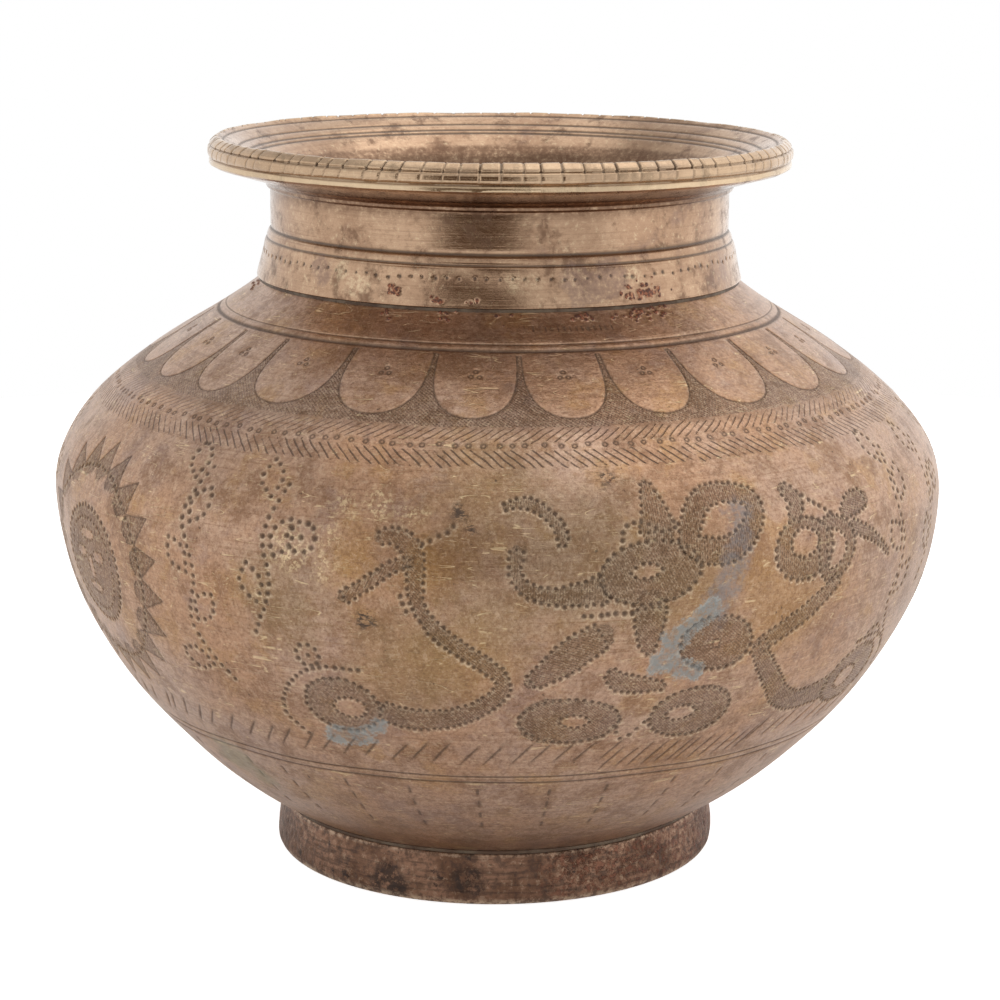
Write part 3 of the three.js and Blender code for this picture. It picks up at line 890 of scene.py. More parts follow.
def rimAndNeck():
    # Collar skirt, neck, underside of the rim, notched edge, dished mouth and bore
    under = rimTop - collar["rimEdge"]
    skirtRows, skirtColumns = 48, relief["lowColumns"]
    skirt = newField(0, 1, skirtRows, skirtColumns)
    heights = np.linspace(seatHeight + 0.35, 105.0, skirtRows + 1)
    radii = collar["reach"] + (collar["skirtTop"] - collar["reach"]) * (heights - seatHeight) / 6.6
    dotAngle = np.arange(collar["dots"]) * 360 / collar["dots"] + chance.normal(0, 0.25, collar["dots"])
    degrees = 360 / skirtColumns
    pitch = heights[1] - heights[0]
    row, column = np.meshgrid(np.arange(-4, 5), np.arange(-4, 5), indexing="ij")
    dotSize = chance.uniform(0.26, 0.42, collar["dots"])
    dotRow = np.rint((collar["dotHeight"] + chance.normal(0, 0.12,
                                                          collar["dots"]) - heights[0]) / pitch).astype(int)
    rows = dotRow[:, None, None] + row
    columns = np.rint(dotAngle / degrees).astype(int)[:, None, None] + column
    away = np.hypot((columns * degrees - dotAngle[:, None, None]) * 39.8 * math.pi / 180,
                    heights[rows] - heights[dotRow][:, None, None]) / dotSize[:, None, None]
    cells = (rows * skirtColumns + columns % skirtColumns).ravel()
    np.minimum.at(skirt["cut"].ravel(), cells, -0.2 * np.clip(1 - away ** 2, 0, 1).ravel())
    np.maximum.at(skirt["grime"].ravel(), cells, np.clip(1.4 - 1.2 * away, 0, 1).ravel())
    lumps = np.concatenate([np.stack([chance.normal(place, spread, count),
                                      chance.normal(height, rise, count),
                                      chance.uniform(0.18, 0.42, count)], 1)
                            for place, height, spread, rise, count in ((-24, 101.3, 1.0, 0.5, 20),
                                                                       (-14, 99.9, 0.8, 0.4, 12),
                                                                       (34, 100.9, 2.8, 0.7, 64),
                                                                       (-6, 99.8, 1, 0.3, 5),
                                                                       (150, 100, 5, 0.8, 30),
                                                                       (-110, 100, 4, 0.7, 24))])
    lumps[:, 1] = np.clip(lumps[:, 1], heights[5], heights[-6])
    row, column = np.meshgrid(np.arange(-5, 6), np.arange(-6, 7), indexing="ij")
    lumpRow = np.rint((lumps[:, 1] - heights[0]) / pitch).astype(int)[:, None, None]
    lumpColumn = np.rint(lumps[:, 0] / degrees).astype(int)[:, None, None] + column
    away = np.hypot((lumpColumn * degrees - lumps[:, 0][:, None, None]) * 40.5 * math.pi / 180,
                    row * pitch + 0 * lumpColumn) / lumps[:, 2][:, None, None]
    cells = ((lumpRow + row) * skirtColumns + lumpColumn % skirtColumns).ravel()
    heap = (0.5 * lumps[:, 2][:, None, None] * np.sqrt(np.clip(1 - away ** 2, 0, 1))).ravel()
    np.maximum.at(skirt["crust"].ravel(), cells, heap)
    theta = skirt["theta"][None, :]
    lift = skirt["cut"] + skirt["crust"] + 0.05 * np.sin(7 * theta + heights[:, None])
    points = swept(radii[:, None] + lift, heights[:, None] + 0 * lift, theta)
    feel = skirt["grime"][..., None] * relief["grimeWeight"]
    used, faces = thinned(points, feel, relief["tolerance"], relief["root"])
    last = skirtRows * skirtColumns
    firstRing, lastRing = np.flatnonzero(used < skirtColumns), np.flatnonzero(used >= last)
    facts = np.stack([np.broadcast_to(heights[:, None], lift.shape), skirt["grime"], 0 * lift], -1)
    skirtBand = {"points": points.reshape(-1, 3)[used], "faces": faces, "first": firstRing,
                 "last": lastRing,
                 "firstTheta": skirt["theta"][used[firstRing]],
                 "lastTheta": skirt["theta"][used[lastRing] - last],
                 "marks": facts.reshape(-1, 3)[used], "hatch": np.zeros((len(used), 3)),
                 "patina": np.stack([skirt["crust"] * 5] * 3, -1).reshape(-1, 3)[used]}
    lip = rounded([(body["spigotRadius"] + collar["fit"], seatHeight, 0),
                   (collar["reach"], seatHeight, 0.35),
                   (collar["reach"] - 0.08, seatHeight + 0.35, 0)])
    neckStops, neckDip = grooved(105.1, 113.2, [(105.5, 0.22, 0.2), (107.1, 0.26, 0.24)], 1)
    neckRadius = np.interp(neckStops, [105.1, 105.6, 107.4, 113.2], [39.4, 39.25, 38.5, 38.5]) - neckDip
    neck = np.stack([neckRadius, neckStops], 1)
    neckFacts = np.zeros((len(neck), 384, 3))
    neckFacts[..., 0] = neckStops[:, None]
    neckFacts[..., 1] = np.clip(neckDip[:, None] * 5 - 0.1, 0, 0.95)
    beneath = rounded([(38.5, 113.3, 0), (38.5, 113.8, 0.2), (39.15, 114.0, 0.15), (39.2, 114.6, 0.2),
                       (39.9, 115.0, 0.3), (40.1, 115.35, 0.2), (48.0, under - 0.15, 0.25),
                       (48.62, under + 0.25, 0.3)], 3)
    edge = rounded([(48.62, under + 0.3, 0), (48.62, under + 0.95, 0.25), (48.3, under + 1.25, 0.2),
                    (48.85, under + 1.65, 0.3), (48.9, under + 2.3, 0.3), (48.85, under + 2.95, 0.3),
                    (48.35, under + 3.2, 0.2), (48.6, under + 3.5, 0.25), (48.1, rimTop - 0.5, 0.5),
                    (47.5, rimTop, 0.35),
                    (47.1, rimTop - 0.12, 0)], 3)
    edge = spaced(edge, 0.5)
    height = edge[:, 1]
    notchShare = np.where(height > under + 3.1, 1, 0.5 * ((height > under + 1.5) & (height < under + 3)))
    notch = notchedEdge(edge, 1536) * notchShare[:, None]
    theta = around(1536)[None, :]
    wobble = 0.06 * np.sin(5 * theta + 1) + 0.05 * np.sin(13 * theta) + 0.03 * np.sin(29 * theta + 2)
    furrow = np.exp(-((height - under - 1.25) / 0.16) ** 2) + np.exp(-((height - under - 3.2) / 0.14) ** 2)
    marks = np.stack([np.broadcast_to(height[:, None], notch.shape),
                      np.clip(notch * 3.4 + 0.55 * furrow[:, None], 0, 0.85),
                      np.broadcast_to(np.where(height < under + 1, 0.9, 0.4)[:, None], notch.shape)], -1)
    # The dished mouth: radius = bore + (mouth - bore) share^2, with fine turned grooves
    stops, _ = grooved(38, 47, [(radius, 0.2, 0) for radius in collar["dishGrooves"]], 1.2)
    stops = np.concatenate([36.4 + 1.6 * np.linspace(0, 1, 8)[:-1] ** 2, stops])[::-1]
    dip = sum(0.15 * np.exp(-((stops - radius) / 0.2) ** 2) for radius in collar["dishGrooves"])
    dish = np.stack([stops, rimTop - 0.25 - 9.9 * (1 - np.sqrt((stops - 36.4) / 10.6))], 1)
    dishFacts = np.zeros((len(dish), 384, 3))
    dishFacts[..., 1] = np.clip(dip[:, None] * 7, 0, 0.9)
    lapTop = spigotTop + 0.3
    bore = rounded([(36.4, 112, 0), (36.4, lapTop, 0.2),
                    (body["spigotRadius"] + collar["fit"], lapTop, 0.1),
                    (body["spigotRadius"] + collar["fit"], seatHeight + 0.1, 0)])
    return joined("rimAndNeck", [
        plainBand(lip, 384), skirtBand, plainBand(neck, 384, None, {"marks": neckFacts}),
                                 plainBand(beneath, 384),
        plainBand(edge, 1536, wobble - notch, {"marks": marks}),
        plainBand(dish, 384, -dip[:, None] + 0 * around(384)[None, :], {"marks": dishFacts}),
                                 plainBand(bore, 192)])


foot = {"columns": 900, "pits": 560, "blotch": (-17, -34, 3), "smallBlotch": (-4.5, -37, 4)}


def footRing():
    # A turned band, pitted and knocked: outline, slow waves and round pits (1 - d^2)
    outer = spaced(rounded([(34.8, 0.3, 0.3), (35.3, 0, 0.4), (37.5, 0, 0.5), (footRadius, 1.0, 0.8),
                            (footRadius - 0.1, 3.6, 1), (37.5, 6.6, 1), (37.25, 8.3, 0.4),
                            (36.9, footTop, 0.3),
                            (35.2, footTop, 0.3), (34.8, footTop - 0.4, 0)]), 0.42)
    columns = foot["columns"]
    theta = around(columns)[None, :]
    arc = np.concatenate([[0], np.cumsum(np.hypot(*np.diff(outer, axis=0).T))])[:, None]
    waves = (0.08 * np.sin(3 * theta + 0.3 * arc) + 0.05 * np.sin(8 * theta - 0.4 * arc)
             + 0.025 * np.sin(23 * theta + 0.8 * arc) + 0.015 * np.sin(41 * theta - 1.1 * arc))
    pits = np.stack([chance.uniform(0, 2 * math.pi, foot["pits"]), chance.uniform(2, 12, foot["pits"]),
                     chance.uniform(0.25, 0.8, foot["pits"])], 1)
    sunk = np.zeros((len(outer), columns))
    for angle, height, size in pits:
        aside = (theta - angle + math.pi) % (2 * math.pi) - math.pi
        away = np.hypot(aside * 37.5, arc - height) / size
        np.maximum(sunk, 0.13 * size * np.clip(1 - away ** 2, 0, 1), out=sunk)
    lift = (waves - sunk) * np.clip((outer[:, 1:] - 0.2) / 0.9, 0, 1)
    marks = np.stack([np.broadcast_to(arc, sunk.shape), np.clip(sunk * 6, 0, 1),
                      np.broadcast_to(np.clip(1.3 - np.abs(outer[:, 1:] - 0.4) / 0.7, 0, 1)
                                      + 0.6 * np.clip(1 - np.abs(outer[:, 1:] - footTop + 0.3) / 0.5, 0, 1),
                                      sunk.shape)], -1)
    inner = np.array([(34.8, footTop - 0.5), (34.8, 4.0), (34.8, 0.4)])
    return joined("footRing", [plainBand(outer, columns, lift, {"marks": marks}),
                               plainBand(inner, columns)])


def bead(name, corners, columns, wander, lumps):
    # A run of metal along a joint: a small closed section whose outer side wanders with the angle
    section = spaced(rounded(list(corners) + [corners[0]]), 0.25)[:-1]
    theta = around(columns)[None, :]
    lift = np.zeros((len(section), columns))
    shape = sum(np.sin(k * theta + phase) / math.sqrt(k) for k, phase in lumps)
    outside = np.clip(np.sin(np.linspace(0, math.pi, len(section))), 0, 1)[:, None]
    lift += wander * outside * (0.4 + 0.35 * shape)
    return joined(name, [plainBand(section, columns, lift)])


pieces = {"upper_body": upperBody(), "lower_body": lowerBody(), "rim_neck": rimAndNeck(),
          "foot_ring": footRing()}
top = seatHeight - 0.55
pieces["neck_braze"] = bead("neckSolder",
                            [(wallAt(arcAt(top), "radius") + 0.05, top, 0), (40.55, seatHeight - 0.05, 0.1),
                                           (39.75, seatHeight - 0.02, 0)], 900, 0.07,
                            ((31, 0.3), (67, 1), (113, 2.2), (171, 4), (9, 1)))
low = footTop + 0.02
pieces["foot_braze"] = bead("footSolder", [(body["seatRadius"] + 0.08, low, 0), (37.1, low, 0.1),
                                           (wallAt(arcAt(low + 0.5), "radius") + 0.05, low + 0.5, 0.1)],
                            900, 0.3,
                            ((12, 0.3), (29, 1), (61, 2.2), (97, 4), (5, 1)))
inside = bellyRadius - body["thickness"]
pieces["belly_braze"] = bead("bellySpelter",
                             [(inside - 0.35, bellyHeight, 0.2), (inside, bellyHeight - 0.8, 0.1),
                                              (inside + 0.8, bellyHeight, 0), (inside, bellyHeight + 0.8,
                                                                               0.1)], 300, 0.15,
                             ((7, 0.3), (23, 1), (41, 2.2)))


# Finishes, in linear colour; sizes of patterns are in mm
bronzeLook = {"base": (0.47, 0.275, 0.168), "brown": (0.27, 0.145, 0.08), "pink": (0.50, 0.335, 0.245),
              "ochre": (0.42, 0.23, 0.08), "olive": (0.25, 0.165, 0.075), "mauve": (0.34, 0.225, 0.185),
              "umber": (0.13, 0.068, 0.04), "bright": (0.72, 0.53, 0.37), "rubbed": (0.9, 0.7, 0.42),
              "burr": (0.85, 0.68, 0.48), "grime": (0.06, 0.036, 0.023), "blue": (0.27, 0.285, 0.275),
              "haze": (0.245, 0.225, 0.225), "chalk": (0.43, 0.44, 0.41), "green": (0.28, 0.33, 0.26),
              "crust": (0.33, 0.095, 0.038), "scab": (0.07, 0.02, 0.012), "roughness": 0.33,
              "scratch": 0.25}


class Finish:
    # Short names for making nodes in one material
    def __init__(self, name):
        self.material = bpy.data.materials.new(name)
        self.material.use_nodes = True
        self.tree = self.material.node_tree
        self.tree.nodes.clear()
        self.output = self.tree.nodes.new("ShaderNodeOutputMaterial")

    def node(self, kind, values=None, **settings):
        made = self.tree.nodes.new(kind)
        for key, value in settings.items():
            setattr(made, key, value)
        for key, value in (values or {}).items():
            if isinstance(value, bpy.types.NodeSocket):
                self.tree.links.new(value, made.inputs[key])
            else:
                made.inputs[key].default_value = value
        return made

    def sum(self, operation, *values, clamp=False):
        return self.node("ShaderNodeMath", dict(enumerate(values)), operation=operation,
                         use_clamp=clamp).outputs[0]

    def times(self, first, second):
        return self.sum("MULTIPLY", first, second)

    def plus(self, first, second, clamp=False):
        return self.sum("ADD", first, second, clamp=clamp)

    def less(self, first, second, clamp=False):
        return self.sum("SUBTRACT", first, second, clamp=clamp)

    def most(self, first, *others):
        # The highest of any number of values
        return self.sum("MAXIMUM", first, self.most(*others)) if others else first

    def scaled(self, value, factor, offset, clamp=False):
        return self.sum("MULTIPLY_ADD", value, factor, offset, clamp=clamp)

    def ramp(self, value, low, high, toLow=0.0, toHigh=1.0):
        return self.node("ShaderNodeMapRange", {0: value, 1: low, 2: high, 3: toLow, 4: toHigh},
                         interpolation_type="SMOOTHSTEP").outputs[0]

    def noise(self, place, scale, detail=3, rough=0.55, stretch=None):
        if stretch:
            place = self.node("ShaderNodeMapping", {"Vector": place, "Scale": stretch}).outputs[0]
        return self.node("ShaderNodeTexNoise", {"Vector": place, "Scale": 1 / scale, "Detail": detail,
                                                "Roughness": rough}).outputs[0]

    def mixed(self, share, first, second):
        first = (*first, 1) if isinstance(first, tuple) else first
        second = (*second, 1) if isinstance(second, tuple) else second
        return self.node("ShaderNodeMix", {0: share, 6: first, 7: second}, data_type="RGBA").outputs[2]

    def mottled(self, colour, paints, coats):
        # Each coat's paint goes on where its noise passes from low to high, at most by its strength
        for noise, low, high, strength, paint in coats:
            colour = self.mixed(self.times(self.ramp(noise, low, high), strength), colour, paints[paint])
        return colour

    def place(self):
        # Object coordinates in mm
        where = self.node("ShaderNodeTexCoord").outputs["Object"]
        return self.node("ShaderNodeVectorMath", {0: where, "Scale": 1000.0}, operation="SCALE").outputs[0]

    def layer(self, name):
        fact = self.node("ShaderNodeAttribute", attribute_name=name).outputs["Vector"]
        return self.node("ShaderNodeSeparateXYZ", {0: fact}).outputs

    def spots(self, place, centres, ragged):
        # 1 inside any of the round patches (x, y, z, radius, softness), with a ragged edge from noise
        mask = None
        wander = self.scaled(self.noise(place, 3.5, 4, 0.65), 2 * ragged, -ragged)
        for x, y, z, radius, soft in centres:
            away = self.node("ShaderNodeVectorMath", {0: place, 1: (x, y, z)},
                             operation="DISTANCE").outputs["Value"]
            away = self.plus(away, wander)
            inside = self.ramp(away, radius + soft, radius - soft)
            mask = inside if mask is None else self.most(mask, inside)
        return mask

    def strokes(self, place, runs, ragged):
        # 1 inside bands about straight runs (start, end, half width), by distance to each run's nearest
        # point
        mask = None
        wander = self.scaled(self.noise(place, 2.2, 5, 0.7), 2 * ragged, -ragged)
        for start, end, half in runs:
            along = Vector(end) - Vector(start)
            apart = self.node("ShaderNodeVectorMath", {0: place, 1: start}, operation="SUBTRACT").outputs[0]
            share = self.node("ShaderNodeVectorMath", {0: apart, 1: tuple(along / along.length_squared)},
                              operation="DOT_PRODUCT").outputs["Value"]
            share = self.plus(share, 0.0, clamp=True)
            nearest = self.node("ShaderNodeVectorMath", {0: tuple(along), "Scale": share},
                                operation="SCALE").outputs[0]
            away = self.node("ShaderNodeVectorMath", {0: apart, 1: nearest},
                             operation="DISTANCE").outputs["Value"]
            away = self.plus(away, wander)
            inside = self.ramp(away, half + 1.1, half - 1.3)
            mask = inside if mask is None else self.most(mask, inside)
        return mask

    def finish(self, colour, metallic, roughness, height, distance):
        bump = self.node("ShaderNodeBump", {"Height": height, "Distance": distance * mm, "Strength": 1.0})
        shader = self.node("ShaderNodeBsdfPrincipled", {"Base Color": colour, "Metallic": metallic,
                                                        "Roughness": roughness, "Normal": bump.outputs[0]})
        self.tree.links.new(shader.outputs[0], self.output.inputs["Surface"])
        return self.material


# Patches on the body: (degrees, arc, radius, softness), and runs: (degrees, arc, degrees, arc, half width)
bodyPatches = {
    "ochre": ((37, -7, 8, 4), (32, -3, 5, 3), (-4, -13, 7, 5), (-7, 2, 5, 4), (-16, 3, 4, 3)),
    "olive": ((10, 2, 12, 7), (-10, -14, 9, 6), (22, -2, 8, 5), (-25, -5, 7, 5), (0, 14, 9, 7),
              (0, -6, 8, 6),
              (190, 4, 14, 8), (165, -12, 10, 6), (110, 8, 9, 6)),
    "rubbed": ((-14, 11, 2, 2), (-17.5, 10.5, 1.6, 2), (-10, 9.6, 1.6, 2), (-19.3, 6, 1.6, 2),
               (-19.5, 1.5, 2, 2), (-24, 3, 3, 2)),
    "black": ((-4.3, 10.3, 1.2, 0.8), (-2.6, 7.5, 1.0, 0.8), (-14.6, -6.3, 1.4, 0.8),
              (13.5, 15.5, 1.5, 0.9),
              (28.5, 2, 0.6, 0.5)),
    "green": ((-47, -43, 4.5, 2), (-43, -47, 3, 2), (200, -20, 5, 3)),
    "crusted": ((14, 16, 4, 2), (33, 48, 7, 3), (66, 30, 5, 3), (6, 46, 6, 3)),
    "haze": ((30, 8, 28.5, 1, 2.3), (28.5, 1, 26.5, -5, 2.4), (26.5, -5, 27, -8, 1.5)),
    "film": ((25.5, -6.5, 21, -11.5, 1.9), (21, -11.5, 19.8, -14.5, 1.7), (19.8, -14.5, 24.8, -17, 1.5),
             (-21.5, -29.6, -17.5, -29.4, 1.9), (-17.5, -28.6, -14.8, -26.4, 1.0))}


def bodyRuns(name):
    # The ends of each run of a patch as places on the body, with its half width
    return [(onWall(*run[:2])[:3], onWall(*run[2:4])[:3], run[4]) for run in bodyPatches[name]]


def onWall(theta, arc, radius=1.0, soft=0.5):
    # A round patch on the body, given by its angle and arc length
    angle = math.radians(theta)
    out = float(wallAt(arc, "radius"))
    return (out * math.sin(angle), -out * math.cos(angle), float(wallAt(arc, "height")), radius, soft)


def bodyFinish():
    kit = Finish("agedBodyBronze")
    place = kit.place()

    def patch(name, ragged):
        return kit.spots(place, [onWall(*spot) for spot in bodyPatches[name]], ragged)

    arc, grime, worn = kit.layer("marks")
    turnLines, arcLines, hatchMask = kit.layer("hatch")
    crust = kit.layer("patina")[0]
    x, y, _ = kit.node("ShaderNodeSeparateXYZ", {0: place}).outputs
    theta = kit.sum("ARCTAN2", x, kit.times(y, -1.0))

    # Fine hatching of the sunk grounds: lines cos(turnLines theta + 2 pi arcLines arc), a little uneven
    uneven = kit.noise(place, 2.2, 2)
    phase = kit.plus(kit.times(turnLines, theta), kit.times(arcLines, kit.times(arc, 2 * math.pi)))
    phase = kit.plus(phase, kit.times(uneven, 9.0))
    lines = kit.scaled(kit.sum("COSINE", phase), 0.5, 0.5)
    lines = kit.times(kit.sum("POWER", lines, 1.4),
                      kit.ramp(kit.noise(place, 0.55, 3, 0.7), 0.38, 0.52, 0.25, 1))
    crossing = kit.plus(kit.times(theta, 700.0), kit.scaled(arc, -6.5, kit.times(uneven, 14.0)))
    crossing = kit.scaled(kit.sum("COSINE", crossing), 0.3, 0.7)
    lines = kit.times(lines, crossing)
    clear = kit.times(kit.ramp(arc, 20.5, 21.5), kit.ramp(kit.plus(arc, uneven), 26.6, 25.6))
    hatchMask = kit.ramp(kit.less(hatchMask, clear, clamp=True), 0.3, 0.7)
    hatch = kit.times(lines, hatchMask)

    # Herringbone: thin strokes where the slanting count, theta / pitch + slope arc, is a whole number
    bones = None
    for low, high, count, slope, strength in ((22.4, 25.4, 265, -1.05, 0.7), (17.5, 21.0, 273, 0.85, 0.95)):
        sway = kit.times(kit.noise(place, 4.0, 1), 0.7)
        tally = kit.plus(kit.times(theta, count / (2 * math.pi)), kit.scaled(arc, slope * 0.75, sway))
        away = kit.sum("ABSOLUTE", kit.less(kit.sum("FRACT", kit.plus(tally, 400.0)), 0.5))
        stroke = kit.times(kit.ramp(away, 0.17, 0.04), kit.ramp(kit.noise(place, 2.6, 3, 0.7), 0.3, 0.5))
        run = kit.plus(arc, kit.scaled(kit.noise(place, 1.5, 1), 1.6, -0.8))
        stroke = kit.times(stroke, kit.times(kit.ramp(run, low, low + 0.4),
                                             kit.ramp(run, high, high - 0.4)))
        stroke = kit.times(stroke, strength)
        bones = stroke if bones is None else kit.most(bones, stroke)

    # Colour: browns over the bare bronze, pinker in places, with turned streaks and a fine mottle
    broad = kit.noise(place, 24.0, 4, 0.65)
    middle = kit.noise(place, 6.0, 6, 0.7)
    tint = kit.noise(place, 9.0, 5, 0.7)
    small = kit.noise(place, 1.2, 5, 0.75)
    fine = kit.noise(place, 0.5, 3, 0.75)
    streak = kit.noise(place, 1.0, 4, 0.6, (0.05, 0.05, 2.6))
    colour = kit.mixed(kit.ramp(broad, 0.38, 0.62), bronzeLook["base"], bronzeLook["pink"])
    colour = kit.mottled(colour, bronzeLook, (
        (tint, 0.5, 0.64, 0.5, "ochre"),
        (middle, 0.47, 0.62, 0.7, "brown"),
        (tint, 0.46, 0.34, 0.5, "mauve"),
        (streak, 0.5, 0.7, 0.5, "brown")))
    colour = kit.mixed(kit.times(patch("ochre", 5.0), 0.5), colour, bronzeLook["ochre"])
    colour = kit.mixed(kit.times(patch("olive", 7.0), 0.5), colour, bronzeLook["olive"])
    colour = kit.mottled(colour, bronzeLook, (
        (small, 0.5, 0.62, 0.42, "brown"),
        (small, 0.47, 0.36, 0.26, "bright"),
        (fine, 0.52, 0.62, 0.34, "umber"),
        (fine, 0.45, 0.35, 0.22, "bright")))
    rub = kit.times(patch("rubbed", 3.0), kit.ramp(kit.noise(place, 0.7, 5, 0.75), 0.5, 0.58))
    colour = kit.mixed(kit.times(rub, 0.6), colour, bronzeLook["rubbed"])

    # Thin pale scratches, where a stretched noise of angle and arc passes through its middle value
    scores = None
    sheet = kit.node("ShaderNodeCombineXYZ", {0: kit.times(theta, 60.0), 1: arc, 2: 0.0}).outputs[0]
    for lean, length, width, shown in ((0.5, 16, 2.2, 0.6), (-0.75, 12, 2, 0.62), (0.12, 26, 1.6, 0.58),
                                       (1.4, 10, 2.2, 0.63)):
        laid = kit.node("ShaderNodeMapping", {"Vector": sheet, "Rotation": (0, 0, lean),
                                              "Scale": (1 / length, 1 / width, 1)})
        line = kit.noise(laid.outputs[0], 1.0, 1)
        line = kit.ramp(kit.sum("ABSOLUTE", kit.less(line, 0.5)), 0.01, 0.0)
        line = kit.times(line, kit.ramp(kit.noise(place, 4.0 + lean, 3, 0.7), shown - 0.04, shown + 0.03))
        scores = line if scores is None else kit.most(scores, line)
    colour = kit.mixed(kit.times(scores, 0.5), colour, bronzeLook["rubbed"])

    # Dirt in every cut, bright burrs, painted glints on the hatched grounds, crusts and the blue and green
    # films
    dirt = kit.most(kit.times(grime, 0.68), kit.most(kit.times(hatch, 0.62), kit.times(bones, 0.72)))
    dirt = kit.most(dirt, kit.times(hatchMask, 0.3))
    # Painted highlight: glints in the burr colour on the crests between the hatch lines
    glints = kit.times(kit.less(hatchMask, hatch, clamp=True), kit.ramp(fine, 0.5, 0.4, 0, 0.8))
    flecks = kit.ramp(kit.noise(place, 0.9, 2), 0.69, 0.76)
    flecks = kit.times(flecks, kit.ramp(middle, 0.5, 0.6))
    black = patch("black", 2.2)
    black = kit.times(black, kit.ramp(kit.noise(place, 1.3, 4, 0.75, (1, 1, 2.4)), 0.45, 0.53))
    dirt = kit.most(dirt, kit.most(kit.times(flecks, 0.75), kit.times(black, 0.92)))
    colour = kit.mixed(kit.times(worn, 0.55), colour, bronzeLook["burr"])
    colour = kit.mixed(dirt, colour, bronzeLook["grime"])
    colour = kit.mixed(kit.times(glints, 0.26), colour, bronzeLook["burr"])
    cloud = kit.ramp(kit.noise(place, 1.3, 5, 0.75), 0.36, 0.6, 0.2, 0.95)
    haze = kit.times(kit.strokes(place, bodyRuns("haze"), 3.4), kit.times(cloud, 0.7))
    colour = kit.mixed(haze, colour, bronzeLook["haze"])
    film = kit.strokes(place, bodyRuns("film"), 2.8)
    edge = kit.times(kit.ramp(film, 0.1, 0.35), kit.ramp(film, 0.8, 0.45))
    blue = kit.times(kit.ramp(film, 0.1, 0.55), kit.ramp(cloud, 0.2, 0.95, 0.25, 0.85))
    filmColour = kit.mixed(kit.times(edge, 0.7), bronzeLook["blue"], bronzeLook["chalk"])
    colour = kit.mixed(blue, colour, filmColour)
    colour = kit.mixed(kit.times(kit.most(grime, hatch), 0.4), colour, bronzeLook["grime"])
    verdigris = kit.times(patch("green", 4.0), 0.4)
    colour = kit.mixed(verdigris, colour, bronzeLook["green"])
    scatter = kit.times(patch("crusted", 4.0), kit.ramp(kit.noise(place, 0.8, 3, 0.6), 0.64, 0.7))
    granular = kit.times(crust, kit.ramp(fine, 0.36, 0.58, 0.35, 1.3))
    rust = kit.most(kit.times(kit.ramp(granular, 0.05, 0.5), 0.92), kit.times(scatter, 0.8))
    crustColour = kit.mixed(kit.ramp(fine, 0.42, 0.56), bronzeLook["crust"], bronzeLook["scab"])
    colour = kit.mixed(rust, colour, crustColour)
    dull = kit.most(kit.most(dirt, kit.most(blue, haze)), kit.most(verdigris, rust))
    metallic = kit.ramp(dull, 0.2, 0.95, 0.88, 0.25)
    rough = kit.scaled(middle, 0.22, bronzeLook["roughness"] - 0.1)
    rough = kit.plus(rough, kit.times(dull, 0.3), clamp=True)
    scratch = kit.noise(place, 0.45, 4, 0.7, (0.25, 0.25, 1.6))
    height = kit.plus(kit.times(hatch, -0.5), kit.times(bones, -0.9))
    height = kit.plus(height, kit.times(scratch, bronzeLook["scratch"]))
    height = kit.plus(height, kit.scaled(small, 0.7, kit.times(fine, 0.3)))
    height = kit.plus(height, kit.times(scores, -0.25))
    height = kit.plus(height, kit.times(blue, 0.3))
    return kit.finish(colour, metallic, rough, height, 0.13)


rimLook = {"pale": (0.52, 0.345, 0.225), "base": (0.42, 0.265, 0.17), "ring": (0.24, 0.135, 0.08),
           "stain": (0.15, 0.083, 0.052), "purple": (0.22, 0.145, 0.125), "burr": (0.8, 0.64, 0.42),
           "stains": ((20, 102.3, 3.5), (27, 103.2, 3), (-44, 103.4, 2.5), (150, 102, 3)),
           "rubbed": ((4.5, 102.5, 1.4), (-33, 101.8, 2), (-38, 104, 1.5), (33, 103.6, 1.6), (9, 103, 0.9))}


def onSkirt(theta, height, radius):
    # A round patch on the collar's skirt, given by its angle and height
    angle = math.radians(theta)
    out = collar["skirtTop"] + (collar["skirtHigh"] - height) * collar["skirtSlope"]
    return (out * math.sin(angle), -out * math.cos(angle), height, radius, 0.8)


